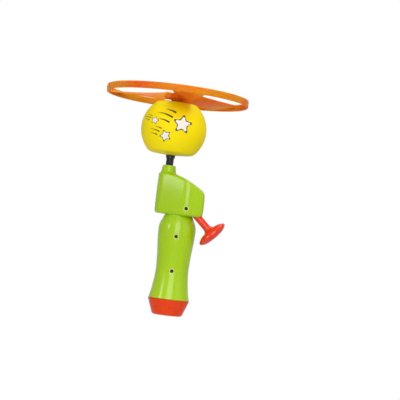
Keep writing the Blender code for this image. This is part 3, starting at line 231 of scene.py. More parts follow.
# Flyer: ball head, sleeve, propeller
HEAD_RADIUS = 0.0344
HEAD_Z = low_z("head_ball")
HEAD_TOP = high_z("head_ball")
HEAD_CENTRE_Z = (HEAD_Z + HEAD_TOP) / 2
HEAD_SAG = 0.0016
HEAD_FOOT_RADIUS = 0.0075
HEAD_EDGE_RADIUS = 0.0030
HEAD_WALL = 0.0016
SLEEVE_RADIUS = 0.0049969
SLEEVE_ROUNDING = 0.0003
SLEEVE_Z = low_z("drive_sleeve")
SLEEVE_TOP = high_z("drive_sleeve")
SLEEVE_FLANGE_RADIUS = 0.0120
SLEEVE_FLANGE_THICKNESS = 0.0015
SLEEVE_FLANGE_TOP = HEAD_TOP - HEAD_WALL - CLEARANCE
SOCKET_HALF_FLATS = 0.0036
SOCKET_TOP = HEX_TIP_Z + CLEARANCE
PILOT_RADIUS = 0.0015
PILOT_Z = low_z("hub_screw") - CLEARANCE
HUB_Z = HEAD_TOP + CLEARANCE
HUB_COLLAR_WALL = 0.0009
HUB_COLLAR_RADIUS = SLEEVE_RADIUS + CLEARANCE + HUB_COLLAR_WALL
HUB_COLLAR_HEIGHT = 0.0033
HUB_COLLAR_TOP = HUB_Z + HUB_COLLAR_HEIGHT
HUB_SHOULDER = 0.0010
HUB_BODY_Z = HUB_COLLAR_TOP + HUB_SHOULDER
HUB_RADIUS = 0.0125
HUB_RIB_HEIGHT = 0.0010
RIB_STEEPNESS = 1.6
RIB_GAP = 0.3
HUB_CAP_RADIUS = 0.0063
HUB_CAP_Z = low_z("hub_cap")
HUB_CAP_RIM = 0.0014
HUB_TOP = HUB_CAP_Z + HUB_CAP_RIM
HUB_CAP_DOME = 0.0017
HUB_CAP_FLAT = 0.025
HUB_SCREW_HEAD_HEIGHT = 0.0015
HUB_SCREW_SEAT_Z = high_z("hub_screw") - HUB_SCREW_HEAD_HEIGHT - CLEARANCE
HUB_SCREW_RECESS_RADIUS = 0.0031
PROPELLER_RADIUS = 0.0750
HOOP_THICKNESS = 0.0016
HOOP_HEIGHT = 0.0072
HOOP_ROUNDING = 0.42
BLADE_RISE = 0.0074
BLADE_Z = HUB_Z + BLADE_RISE
FIRST_BLADE_ANGLE = math.radians(-78.0)
BLADE_ROOT_CHORD = 0.0160
BLADE_TIP_CHORD = 0.0330
BLADE_WIDENING = 0.5
BLADE_THICKNESS = 0.0016
BLADE_EDGE_THICKNESS = 0.0010
BLADE_ADVANCE = 0.0095
BLADE_STEEPEST_RADIUS = 0.0180
BLADE_FILLET_FADE = 0.0011
BLADE_NOSE_START = 0.965
BLADE_NOSE_END = 0.02
BLADE_END_CROWDING = 0.65

# Stars on the ball: place across and up from the middle in star sizes, share of the largest, turn
STARS = (
    ((0.82, 0.30), 1.00, 0.25),
    ((-0.62, -0.92), 0.62, 0.75),
    ((-1.75, 0.42), 0.42, 0.05),
)
STAR_WAIST = 0.50
STAR_ROUNDING = (0.10, 0.06)
STAR_RINGS = 7
STAR_FACE = 0.80

# Streaks behind a star: place to the side and length in star radii, then what they have in common
TRAILS = ((0.55, 1.15), (0.0, 1.55), (-0.55, 1.05))
TRAIL_HEADING = math.radians(152)
TRAIL_BEND = math.radians(26)
TRAIL_GAP = 1.08
TRAIL_WIDTH = 0.075
TRAIL_TAPER = 1.5
TRAIL_END = 0.06
TRAIL_STEPS = 28

# Facets of the visible meshes
ROUND_SIDES = 96
GRIP_SIDES = 112
GRIP_STEPS = 64
CORNER_STEPS = 12
FOLD_STEPS = 24
SMALL_ARC_STEPS = 18
FLANK_STEPS = 8
WALL_STEPS = 10
EDGE_STEPS = 7
CAP_STEPS = 10
TURNED_STEPS = 4
FINE_EDGE_STEPS = 5
RIB_FACETS = 16
SCREW_HEAD_SIDES = 40
SCREW_SIDES = 28
THREAD_STEPS = 24
THREAD_SIDES = 5
SPRING_STEPS = 72
BALL_SIDES = 144
HOOP_SIDES = 240
BLADE_STEPS = 44
BLADE_STATIONS = 21
CORD_SIDES = 18
CORD_STEPS = 72

# Camera: the photograph's frame is 0.42 m wide at the spindle's distance, and the toy leans 7 degrees in it
CAMERA_PLACE = Vector((0.0364, -1.28, 0.0730))
CAMERA_TARGET = Vector((0.0364, 0.0, 0.1239))
CAMERA_ROLL = math.radians(7.0)
SENSOR_WIDTH = 36.0
FRAME_WIDTH = 0.42

# Light: name, place, width, height and power of each lamp; level of the surroundings; the floor
LAMP_TARGET = Vector((0.01, 0.0, 0.14))
LAMPS = (
    ("front_softbox", (0.06, -1.75, 0.58), 0.85, 1.06, 18.0),
    ("left_panel", (-1.25, -1.20, 0.50), 0.30, 0.38, 4.6),
    ("top_softbox", (0.30, -0.20, 1.55), 0.90, 0.90, 11.0),
    ("right_softbox", (1.30, -1.00, 0.60), 0.80, 1.00, 2.6),
)
WORLD_LIGHT = 0.24
WHITE = (1.0, 1.0, 1.0)
FLOOR_GREY = (0.92, 0.92, 0.92)
FLOOR_REACH = 20.0
FLOOR_DROP = 0.125
FLOOR_LIFT = 0.46
FLOOR_FADE = (0.25, 0.70)


class LauncherColours(bpy.types.PropertyGroup):
    """Colours of the toy's plastics, vinyl, print, metal and cord."""

    body_green: FloatVectorProperty(
        name="Body green", description="Moulded case and grip",
        subtype="COLOR", default=(0.36, 0.58, 0.004)
    )
    cap_red: FloatVectorProperty(
        name="Cap red", description="Base cap and hub cap",
        subtype="COLOR", default=(0.74, 0.048, 0.004)
    )
    # Handle red is the cap's red made slightly deeper: partly the handle's own tone, partly painted shade
    handle_red: FloatVectorProperty(
        name="Handle red", description="Pull handle and its plug",
        subtype="COLOR", default=(0.76, 0.036, 0.005)
    )
    propeller_orange: FloatVectorProperty(
        name="Propeller orange", description="Propeller moulding",
        subtype="COLOR", default=(0.94, 0.120, 0.018)
    )
    propeller_amber: FloatVectorProperty(
        name="Propeller amber", description="Paler flow in the propeller",
        subtype="COLOR", default=(0.95, 0.28, 0.018)
    )
    ball_yellow: FloatVectorProperty(
        name="Ball yellow", description="Soft ball head",
        subtype="COLOR", default=(0.98, 0.78, 0.002)
    )
    print_white: FloatVectorProperty(
        name="Print white", description="Light print on the ball",
        subtype="COLOR", default=(0.90, 0.87, 0.80)
    )
    print_brown: FloatVectorProperty(
        name="Print brown", description="Dark print on the ball",
        subtype="COLOR", default=(0.028, 0.014, 0.004)
    )
    spindle_black: FloatVectorProperty(
        name="Spindle black", description="Drive spindle and sleeve",
        subtype="COLOR", default=(0.008, 0.011, 0.018)
    )
    nylon: FloatVectorProperty(
        name="Nylon", description="Gears, bushes and cord outlet",
        subtype="COLOR", default=(0.78, 0.76, 0.69)
    )
    steel: FloatVectorProperty(
        name="Steel", description="Axle, washer and hub screw",
        subtype="COLOR", default=(0.60, 0.60, 0.62)
    )
    # The screw steel is painted near black: it stands in for the shade deep in the screw recesses
    screw_steel: FloatVectorProperty(
        name="Screw steel", description="Darkened screws in the shells",
        subtype="COLOR", default=(0.030, 0.027, 0.024)
    )
    cord_white: FloatVectorProperty(
        name="Cord white", description="Twisted pull cord",
        subtype="COLOR", default=(0.74, 0.72, 0.66)
    )


class LauncherSizes(bpy.types.PropertyGroup):
    """Sizes and counts of the visible detail."""

    blade_count: IntProperty(
        name="Blades", description="Blades between hub and hoop",
        default=3, min=2, max=6
    )
    rib_count: IntProperty(
        name="Hub ribs", description="Ribs round the propeller's hub",
        default=12, min=4, max=24
    )
    root_fillet: FloatProperty(
        name="Blade fillet", description="Swell of a blade at hub and hoop",
        default=0.0007, unit="LENGTH"
    )
    print_height: FloatProperty(
        name="Print height", description="Height of the print over the ball",
        default=0.00008, unit="LENGTH"
    )
    star_radius: FloatProperty(
        name="Star size", description="Radius of the largest printed star",
        default=0.0112, unit="LENGTH"
    )
    slot_width: FloatProperty(
        name="Screw slot", description="Width of the cross in a screw's head",
        default=0.0005, unit="LENGTH"
    )
    neck_fillet: FloatProperty(
        name="Neck fillet", description="Rounding between the neck and the roof",
        default=0.0022, unit="LENGTH"
    )


def colours():
    """The toy's colours."""
    return bpy.context.scene.launcher_colours


def sizes():
    """The sizes of the visible detail."""
    return bpy.context.scene.launcher_sizes


def add_object(name, data):
    """A new object in the scene."""
    obj = bpy.data.objects.new(name, data)
    bpy.context.scene.collection.objects.link(obj)
    return obj


def place_piece(name, bm, material=None):
    """Turn a closed bmesh into a smooth-shaded object at the origin."""
    bmesh.ops.recalc_face_normals(bm, faces=bm.faces)
    mesh = bpy.data.meshes.new(name)
    bm.to_mesh(mesh)
    bm.free()
    if material:
        mesh.materials.append(material)
    obj = add_object(name, mesh)
    smooth(obj)
    return obj


def smooth(obj):
    """Shade an object smooth, with its true edges sharp."""
    obj.data.shade_smooth()
    obj.data.set_sharp_from_angle(angle=SHARP_ANGLE)


def settle(obj):
    """Turn an object's modifiers into its plain mesh."""
    graph = bpy.context.evaluated_depsgraph_get()
    mesh = bpy.data.meshes.new_from_object(obj.evaluated_get(graph))
    obj.modifiers.clear()
    spent = obj.data
    obj.data = mesh
    bpy.data.meshes.remove(spent)
    mesh.name = obj.name
    smooth(obj)


def combine(target, others, operation="DIFFERENCE"):
    """Cut or join an object with others, which stay."""
    for other in others:
        modifier = target.modifiers.new(other.name, "BOOLEAN")
        modifier.operation = operation
        modifier.solver = "EXACT"
        modifier.object = other
    settle(target)
    return target


def discard(objects):
    """Remove cutters and guides."""
    for obj in objects:
        bpy.data.objects.remove(obj, do_unlink=True)


def seat(obj, body, slot, *nodes):
    """Let a finished piece ride on a body and stand for CAD nodes."""
    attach(obj, body)
    if nodes:
        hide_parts(*nodes)


def add_piece(name, bm, look, body, slot, *nodes):
    """A finished piece with its look, seated on its body in place of CAD nodes."""
    seat(place_piece(name, bm, finish(look)), body, slot, *nodes)


def oval(half_x, half_y, z, sides, centre_x=0.0):
    """Points of a level oval, counter-clockwise from +X."""
    turn = math.tau / sides
    return [
        (centre_x + half_x * math.cos(i * turn), half_y * math.sin(i * turn), z) for i in range(sides)
    ]


def hexagon(half_flats, z, sides):
    """Points of a level hexagon with a corner on +X, on as many rays as the round rings have."""
    points = []
    for i in range(sides):
        angle = math.tau * i / sides
        radius = half_flats / math.cos(angle % math.radians(60) - math.radians(30))
        points.append((radius * math.cos(angle), radius * math.sin(angle), z))
    return points


def bridge(bm, first, second):
    """Faces between two loops of equal length."""
    for i in range(len(first)):
        j = (i + 1) % len(first)
        bm.faces.new((first[i], first[j], second[j], second[i]))


def skin(bm, rings, closed=False, caps=True):
    """Join rings of equal length; a skin that isn't closed is capped flat at both ends."""
    loops = [[bm.verts.new(point) for point in ring] for ring in rings]
    for lower, upper in zip(loops, loops[1:]):
        bridge(bm, lower, upper)
    if closed:
        bridge(bm, loops[-1], loops[0])
    elif caps:
        bm.faces.new(tuple(reversed(loops[0])))
        bm.faces.new(tuple(loops[-1]))
    return loops


def skinned(rings, closed=False):
    """A bmesh of one skin over rings."""
    bm = bmesh.new()
    skin(bm, rings, closed)
    return bm


def turned(profile, closed=False, sides=ROUND_SIDES, matrix=None):
    """A turned shape from radius and height pairs; a closed profile leaves a bore."""
    bm = skinned([oval(radius, radius, z, sides) for radius, z in profile], closed)
    if matrix:
        bm.transform(matrix)
    return bm


def rounded(profile, radius, closed=False, steps=EDGE_STEPS):
    """A profile with its corners rounded by one radius, or by one for each corner."""
    count = len(profile)
    radii = radius if isinstance(radius, (list, tuple)) else [radius] * count
    points = []
    for i in range(count):
        here = Vector(profile[i])
        back = Vector(profile[i - 1]) - here
        ahead = Vector(profile[(i + 1) % count]) - here
        at_end = not closed and i in (0, count - 1)
        if at_end or radii[i] <= 0 or back.angle(ahead) > math.radians(178):
            points.append(tuple(here))
            continue
        half = back.angle(ahead) / 2
        reach = min(radii[i] / math.tan(half), 0.48 * back.length, 0.48 * ahead.length)
        used = reach * math.tan(half)
        centre = here + (back.normalized() + ahead.normalized()).normalized() * (used / math.sin(half))
        first = here + back.normalized() * reach - centre
        last = here + ahead.normalized() * reach - centre
        start = math.atan2(first.y, first.x)
        sweep = (math.atan2(last.y, last.x) - start + math.pi) % math.tau - math.pi
        for k in range(steps + 1):
            angle = start + sweep * k / steps
            points.append((centre.x + used * math.cos(angle), centre.y + used * math.sin(angle)))
    return points


def box(low, high):
    """A box between two corners."""
    corners = ((low[0], low[1]), (high[0], low[1]), (high[0], high[1]), (low[0], high[1]))
    return skinned([[(x, y, z) for x, y in corners] for z in (low[2], high[2])])


def curve_value(stations, share, column):
    """One column of a station table at a share, on a cubic curve through the stations."""
    last = len(stations) - 1
    share = min(max(share, stations[0][0]), stations[last][0])

    def slope(index):
        before = stations[max(index - 1, 0)]
        after = stations[min(index + 1, last)]
        return (after[column] - before[column]) / (after[0] - before[0])

    index = 0
    while index < last - 1 and share > stations[index + 1][0]:
        index += 1
    start, end = stations[index], stations[index + 1]
    span = end[0] - start[0]
    t = (share - start[0]) / span
    rise = (2 * t**3 - 3 * t**2 + 1) * start[column] + (3 * t**2 - 2 * t**3) * end[column]
    bend = (t**3 - 2 * t**2 + t) * slope(index) + (t**3 - t**2) * slope(index + 1)
    return rise + span * bend


def join(tree, value, socket):
    """Link another socket to a node's socket, or set it to a plain value."""
    if isinstance(value, bpy.types.NodeSocket):
        tree.links.new(value, socket)
    elif socket.type == "RGBA":
        socket.default_value = (*value[:3], 1.0)
    else:
        socket.default_value = value


def fill(tree, node, **inputs):
    """Link or set a node's inputs by name."""
    for label, value in inputs.items():
        join(tree, value, node.inputs[label.replace("_", " ")])
    return node


def add_node(tree, kind, settings=None, **inputs):
    """A new node with its settings and inputs."""
    node = tree.nodes.new(kind)
    for key, value in (settings or {}).items():
        setattr(node, key, value)
    return fill(tree, node, **inputs)


def maths(tree, operation, *values):
    """The result of a sum on plain values or sockets."""
    node = add_node(tree, "ShaderNodeMath", {"operation": operation})
    for value, socket in zip(values, node.inputs):
        join(tree, value, socket)
    return node.outputs["Value"]


def vector_maths(tree, operation, first, second):
    """The result of a sum on two vectors."""
    node = add_node(tree, "ShaderNodeVectorMath", {"operation": operation})
    join(tree, first, node.inputs[0])
    join(tree, second, node.inputs[1])
    return node.outputs["Value" if operation == "DISTANCE" else "Vector"]


def new_shader(name):
    """A material with its tree, its Principled shader and the piece's own coordinates."""
    material = bpy.data.materials.new(name)
    material.use_nodes = True
    tree = material.node_tree
    place = tree.nodes.new("ShaderNodeTexCoord").outputs["Object"]
    return material, tree, tree.nodes["Principled BSDF"], place


def noise(tree, place, scale, detail=2.0, stretch=None):
    """Noise at a scale in features per metre, stretched along an axis where asked."""
    if stretch:
        place = add_node(tree, "ShaderNodeMapping", Scale=stretch, Vector=place).outputs["Vector"]
    return add_node(tree, "ShaderNodeTexNoise", Scale=scale, Detail=detail, Vector=place).outputs["Fac"]


def spread(tree, value, low, high, start=0.3, end=0.7):
    """A value mapped from a span, noise's usual one unless given, to a low and a high one."""
    node = add_node(tree, "ShaderNodeMapRange", Value=value, From_Min=start, From_Max=end)
    return fill(tree, node, To_Min=low, To_Max=high).outputs["Result"]


def shaded(tree, colour, value):
    """A colour made lighter or darker by a value."""
    return add_node(tree, "ShaderNodeHueSaturation", Color=colour, Value=value).outputs["Color"]


def blended(tree, factor, first, second):
    """A mix of two colours or colour sockets by a factor."""
    node = add_node(tree, "ShaderNodeMix", {"data_type": "RGBA"}, Factor=factor)
    sockets = [socket for socket in node.inputs if socket.type == "RGBA"]
    for value, socket in zip((first, second), sockets):
        join(tree, value, socket)
    return next(socket for socket in node.outputs if socket.type == "RGBA")


def towards_white(colour, *shares):
    """A colour whose red, green and blue move towards white by their shares."""
    return [part + (1.0 - part) * share for part, share in zip(colour, shares)]


def relief(tree, shader, *layers):
    """Bumps from pairs of a height socket and its depth in metres, one over the other."""
    normal = None
    for height, depth in layers:
        node = add_node(tree, "ShaderNodeBump", Distance=depth, Height=height)
        if normal:
            tree.links.new(normal, node.inputs["Normal"])
        normal = node.outputs["Normal"]
    tree.links.new(normal, shader.inputs["Normal"])


def along(tree, place, axis):
    """One of the piece's own coordinates."""
    return add_node(tree, "ShaderNodeSeparateXYZ", Vector=place).outputs[axis]


def axis_distance(tree, place, across, middle):
    """Distance from an axis through a middle; across is 0 along the axis and 1 square to it."""
    return vector_maths(tree, "DISTANCE", vector_maths(tree, "MULTIPLY", place, across), middle)


def ring_mask(tree, place, x, z, inner, outer):
    """A mask on the front for a painted highlight ring: 1 between two distances from an axis that runs out of
    the front.
    """
    distance = axis_distance(tree, place, (1.0, 0.0, 1.0), (x, 0.0, z))
    beyond = spread(tree, distance, 0.0, 1.0, inner - RING_BLUR, inner)
    within = spread(tree, distance, 1.0, 0.0, outer, outer + RING_BLUR)
    y = along(tree, place, "Y")
    front = spread(tree, y, 1.0, 0.0, -CASE_SMALL_RADIUS - WALL, -CASE_SMALL_RADIUS)
    return maths(tree, "MULTIPLY", maths(tree, "MULTIPLY", beyond, within), front)


def moulded_plastic(
    name, colour, roughness, glow=0.0, specular=0.20, worn=None, depth=0.0020, drift=None, holes=()
):
    """Injection-moulded plastic: faint flow marks, fine grain, hairline scratches, rubbed edges and painted
    highlight rings round screw holes.
    """
    material, tree, shader, place = new_shader(name)
    flow = spread(tree, noise(tree, place, 26.0, 3.0, (1.0, 1.0, 0.45)), 0.965, 1.035)
    surface = shaded(tree, colour, flow)
    if drift:
        streams = spread(tree, noise(tree, place, 14.0, 1.0), 0.0, 1.0, 0.40, 0.60)
        surface = blended(tree, streams, surface, drift)
    recess = SCREW_HEAD_RADIUS + CLEARANCE
    for x, z, _ in holes:
        # Paler ring round each screw recess: a painted highlight, as of a chamfer catching light
        painted_rim_highlight = ring_mask(tree, place, x, z, recess, recess + SCREW_CHAMFER)
        surface = blended(tree, painted_rim_highlight, surface, towards_white(colour, 0.45, 0.45, 0.22))
    scuffed = towards_white(colour, 0.35, 0.35, 0.35)
    hairlines = spread(tree, noise(tree, place, 700.0, 2.0, (1.0, 1.0, 0.07)), 0.0, 0.10, 0.66, 0.74)
    surface = blended(tree, hairlines, surface, scuffed)
    if worn:
        edge = spread(tree, along(tree, place, "Z"), 0.0, 1.0, *worn)
        rubbed = spread(tree, noise(tree, place, 1100.0, 4.0), 0.0, 0.45, 0.50, 0.66)
        surface = blended(tree, maths(tree, "MULTIPLY", edge, rubbed), surface, scuffed)
    marks = noise(tree, place, 420.0, 4.0, (0.35, 0.35, 1.0))
    shine = spread(tree, marks, roughness * 0.90, roughness * 1.20)
    grain = noise(tree, place, 2600.0)
    waviness = noise(tree, place, 60.0)
    relief(tree, shader, (grain, 0.000004), (waviness, 0.00008))
    fill(tree, shader, Base_Color=surface, Roughness=shine, Specular_IOR_Level=specular)
    fill(tree, shader, Subsurface_Weight=glow, Subsurface_Radius=(1.0, 0.35, 0.05), Subsurface_Scale=depth)
    return material


def soft_vinyl(name, colour):
    """Soft matte vinyl: pebbled skin, dusty shine and a slightly deeper colour in broad patches."""
    material, tree, shader, place = new_shader(name)
    patches = spread(tree, noise(tree, place, 32.0, 3.0), 0.97, 1.02)
    dust = spread(tree, noise(tree, place, 260.0, 3.0), 0.46, 0.60)
    pebbles = noise(tree, place, 1500.0, 1.0)
    dents = noise(tree, place, 70.0)
    relief(tree, shader, (pebbles, 0.00002), (dents, 0.00015))
    fill(tree, shader, Base_Color=shaded(tree, colour, patches), Roughness=dust, Specular_IOR_Level=0.12)
    fill(tree, shader, Subsurface_Weight=0.08, Subsurface_Radius=(1.0, 0.7, 0.05), Subsurface_Scale=0.0015)
    return material


def pad_print(name, colour):
    """Pad-printed ink: nearly even, with a fine uneven film."""
    material, tree, shader, place = new_shader(name)
    film = spread(tree, noise(tree, place, 900.0, 3.0), 0.95, 1.05)
    shine = spread(tree, noise(tree, place, 1200.0), 0.38, 0.50)
    relief(tree, shader, (noise(tree, place, 1800.0, 1.0), 0.00001))
    fill(tree, shader, Base_Color=shaded(tree, colour, film), Roughness=shine, Specular_IOR_Level=0.4)
    return material


def drawn_steel(name, colour, roughness):
    """Plain steel wire and sheet: fine lengthwise drawing marks and dull spots."""
    material, tree, shader, place = new_shader(name)
    spots = spread(tree, noise(tree, place, 350.0, 3.0), 0.90, 1.06)
    marks = noise(tree, place, 1800.0, 3.0, (1.0, 1.0, 0.08))
    shine = spread(tree, marks, roughness * 0.7, roughness * 1.4)
    relief(tree, shader, (marks, 0.000008))
    fill(tree, shader, Base_Color=shaded(tree, colour, spots), Roughness=shine, Metallic=1.0)
    return material


def twisted_cord(name, colour, axis):
    """Twisted cord: slanting strands along an axis, with fuzz and darker grooves."""
    material, tree, shader, place = new_shader(name)
    slanted = add_node(tree, "ShaderNodeMapping", Rotation=axis, Vector=place).outputs["Vector"]
    wave = add_node(tree, "ShaderNodeTexWave", Scale=420.0, Distortion=1.2, Detail=1.0, Vector=slanted)
    strands = wave.outputs["Fac"]
    groove = spread(tree, strands, 0.62, 1.04, 0.0, 1.0)
    fuzz = spread(tree, noise(tree, place, 3000.0), 0.75, 0.95)
    relief(tree, shader, (strands, 0.00012), (noise(tree, place, 6000.0), 0.00003))
    fill(tree, shader, Base_Color=shaded(tree, colour, groove), Roughness=fuzz, Sheen_Weight=0.3)
    return material


FINISHES = {
    # Body green paints a highlight ring round each screw hole
    "body_green": lambda c: moulded_plastic(
        "body_green", c.body_green, 0.18, 0.04, 0.26, holes=screw_places()
    ),
    "cap_red": lambda c: moulded_plastic("cap_red", c.cap_red, 0.28, 0.05, 0.16, (0.002, 0.0)),
    # The handle's deeper red than the cap's is partly painted shade
    "handle_red": lambda c: moulded_plastic("handle_red", c.handle_red, 0.15, 0.05, 0.30),
    "propeller_orange": lambda c: moulded_plastic(
        "propeller_orange", c.propeller_orange, 0.32, 1.00, 0.015, depth=0.0080, drift=c.propeller_amber
    ),
    "spindle_black": lambda c: moulded_plastic("spindle_black", c.spindle_black, 0.20, 0.0, 0.28),
    "nylon": lambda c: moulded_plastic("nylon", c.nylon, 0.45, 0.15),
    "ball_yellow": lambda c: soft_vinyl("ball_yellow", c.ball_yellow),
    "print_white": lambda c: pad_print("print_white", c.print_white),
    "print_brown": lambda c: pad_print("print_brown", c.print_brown),
    "steel": lambda c: drawn_steel("steel", c.steel, 0.34),
    # Near-black steel on the shell screws is painted shade of their deep recesses
    "screw_steel": lambda c: drawn_steel("screw_steel", c.screw_steel, 0.42),
    "spring_steel": lambda c: drawn_steel("spring_steel", [0.6 * part for part in c.steel], 0.28),
    "winding_cord": lambda c: twisted_cord("winding_cord", c.cord_white, (0.0, 0.0, math.radians(45))),
    "pull_cord": lambda c: twisted_cord("pull_cord", c.cord_white, (0.0, PULL_SLOPE + math.radians(50), 0.0)),
}


def finish(name):
    """A finish's material, made when it is first asked for."""
    return bpy.data.materials.get(name) or FINISHES[name](colours())


def grip_ring(z, inset):
    """The grip's outline at a height, moved inwards by an inset."""
    share = (z - CAP_HEIGHT) / GRIP_LENGTH
    half_width = curve_value(GRIP_SECTIONS, share, 1) - inset
    half_depth = curve_value(GRIP_SECTIONS, share, 2) - inset
    return oval(half_width, half_depth, z, GRIP_SIDES, GRIP_X)


def grip_solid(bottom, top, inset, edge=0.0):
    """The grip between two heights, moved inwards by an inset, its lower edge rounded."""
    rings = []
    if edge:
        for k in range(EDGE_STEPS):
            turn = math.pi / 2 * k / EDGE_STEPS
            rings.append(grip_ring(bottom + edge * (1 - math.cos(turn)), inset + edge * (1 - math.sin(turn))))
    low = bottom + edge
    rings += [grip_ring(low + (top - low) * i / GRIP_STEPS, inset) for i in range(GRIP_STEPS + 1)]
    return skinned(rings)


def roof_z(x):
    """Height of the case's roof: level over the spindle, falling in a curve towards the spool's side."""
    return ROOF_Z - ROOF_DROP * (max(x, 0.0) / CASE_RIGHT_X) ** ROOF_CURVE


def case_rounding(first, last, radius):
    """Centre of the rounding between two faces, each a distance from the spool's axis and an angle."""
    first_distance, first_angle = first
    last_distance, last_angle = last
    first_reach = first_distance - radius
    last_reach = last_distance - radius
    turn = math.sin(last_angle - first_angle)
    x = (first_reach * math.sin(last_angle) - last_reach * math.sin(first_angle)) / turn
    y = (last_reach * math.cos(first_angle) - first_reach * math.cos(last_angle)) / turn
    return SPOOL_X + x, y


def case_planes():
    """The case's end, face and flank: distance from the spool's axis and the angle that each looks to."""
    face = math.pi / 2 - CASE_FOLD_TURN
    flank = math.pi / 2 + math.asin((CASE_LARGE_RADIUS - CASE_SMALL_RADIUS) / SPOOL_X)
    return (
        (CASE_LARGE_RADIUS + CASE_END_SHIFT, 0.0),
        (CASE_LARGE_RADIUS + CASE_FACE_SHIFT, face),
        (CASE_LARGE_RADIUS, flank),
    )


def case_half_depth(x):
    """Half depth of the case's outside at an x on the rounded fold."""
    fold_x, fold_y = case_rounding(*case_planes()[1:], CASE_FOLD_RADIUS)
    return fold_y + math.sqrt(CASE_FOLD_RADIUS**2 - (x - fold_x) ** 2)


def case_plan():
    """Half of the case's plan from +X to -X: centre of curvature, radius and outward angle of each point."""
    end_plane, face_plane, flank_plane = case_planes()
    face = face_plane[1]
    flank = flank_plane[1]
    corner = case_rounding(end_plane, face_plane, CASE_CORNER_RADIUS)
    fold = case_rounding(face_plane, flank_plane, CASE_FOLD_RADIUS)
    bends = (
        (*corner, CASE_CORNER_RADIUS, 0.0, face, CORNER_STEPS),
        (*fold, CASE_FOLD_RADIUS, face, flank, FOLD_STEPS),
        (0.0, 0.0, CASE_SMALL_RADIUS, flank, math.pi, SMALL_ARC_STEPS),
    )
    plan = []
    for x, y, radius, first, last, steps in bends:
        if plan:
            before = plan[-1]
            for i in range(1, FLANK_STEPS):
                share = i / FLANK_STEPS
                run = [a + (b - a) * share for a, b in zip(before, (x, y, radius))]
                plan.append((*run, first))
        plan += [(x, y, radius, first + (last - first) * i / steps) for i in range(steps + 1)]
    return plan


def case_ring(inset, height_at):
    """One ring of the case's plan, moved inwards, at a height that depends on x."""
    half = []
    for centre_x, centre_y, radius, angle in case_plan():
        x = centre_x + (radius - inset) * math.cos(angle)
        y = centre_y + (radius - inset) * math.sin(angle)
        half.append((x, y))
    other_half = [(x, -y) for x, y in reversed(half[:-1])]
    return [(x, y, height_at(x)) for x, y in half + other_half]


def case_solid(inset, floor_z, roof_depth, edge, roof_edge, draft=0.0):
    """The case with rounded edges, moved inwards by an inset, its roof lowered, its walls bellied."""
    rings = []
    for i in range(EDGE_STEPS + 1):
        turn = math.pi / 2 * (1 - i / EDGE_STEPS)
        height = floor_z + edge * (1 - math.sin(turn))
        rings.append(case_ring(inset + draft + edge * (1 - math.cos(turn)), lambda x, z=height: z))
    wall_z = floor_z + edge
    wall_drop = roof_depth + roof_edge
    for i in range(1, WALL_STEPS if draft else 1):
        share = i / WALL_STEPS
        drawn = inset + draft * (2 * share - 1) ** 2
        rings.append(
            case_ring(drawn, lambda x, s=share: wall_z + (roof_z(x) - wall_drop - wall_z) * s)
        )
    for i in range(EDGE_STEPS + 1):
        turn = math.pi / 2 * i / EDGE_STEPS
        drop = roof_depth + roof_edge * (1 - math.sin(turn))
        rings.append(
            case_ring(inset + draft + roof_edge * (1 - math.cos(turn)), lambda x, d=drop: roof_z(x) - d)
        )
    bm = bmesh.new()
    loops = skin(bm, rings, caps=False)
    bm.faces.new(tuple(reversed(loops[0])))
    roof = loops[-1]
    for i in range((len(roof) - 1) // 2):
        strip = (roof[i], roof[i + 1], roof[-(i + 2)], roof[-(i + 1)])
        bm.faces.new(list(dict.fromkeys(strip)))
    return bm


def screw_places():
    """The x, z and depth of the front surface of each shell screw."""
    places = []
    for node in SCREW_NODES:
        low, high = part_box(node)
        x, z = (low.x + high.x) / 2, (low.z + high.z) / 2
        if z > CASE_Z:
            front = case_half_depth(x)
        else:
            front = curve_value(GRIP_SECTIONS, (z - CAP_HEIGHT) / GRIP_LENGTH, 2)
        places.append((x, z, front))
    return places


def screw_matrix(x, z):
    """Frame of a shell screw: its axis runs out of the front."""
    return Matrix.Translation((x, 0, z)) @ FACING_FRONT


def shell_hollow():
    """The hollow inside the shells, less the webs and bosses that stay standing in it."""
    inner_edge = CASE_EDGE_RADIUS - WALL
    inner_roof_edge = ROOF_EDGE_RADIUS - WALL
    hollow = place_piece("case_hollow", case_solid(WALL, CASE_Z + WALL, WALL, inner_edge, inner_roof_edge))
    grip = place_piece("grip_hollow", grip_solid(CAP_HEIGHT - WALL, CASE_Z + 2 * WALL, WALL))
    combine(hollow, [grip], "UNION")
    lower = box(
        (-CASE_SMALL_RADIUS, -LOWER_WEB_HALF_WIDTH, LOWER_WEB_Z),
        (CASE_RIGHT_X, LOWER_WEB_HALF_WIDTH, LOWER_WEB_TOP),
    )
    upper = box(
        (UPPER_WEB_START_X, -CASE_LARGE_RADIUS, UPPER_WEB_Z), (CASE_RIGHT_X, CASE_LARGE_RADIUS, UPPER_WEB_TOP)
    )
    standing = [place_piece("lower_web", lower), place_piece("upper_web", upper)]
    for x, z, front in screw_places():
        boss = turned([(BOSS_RADIUS, -front), (BOSS_RADIUS, front)], matrix=screw_matrix(x, z))
        standing.append(place_piece("screw_boss", boss))
    outlet_end = OUTLET_SEAT + STEM_RADIUS
    outlet = [(OUTLET_BOSS_RADIUS, OUTLET_SEAT - OUTLET_LENGTH), (OUTLET_BOSS_RADIUS, outlet_end)]
    standing.append(place_piece("outlet_boss", turned(outlet, matrix=PULL_FRAME)))
    combine(hollow, standing)
    discard([grip, *standing])
    return hollow


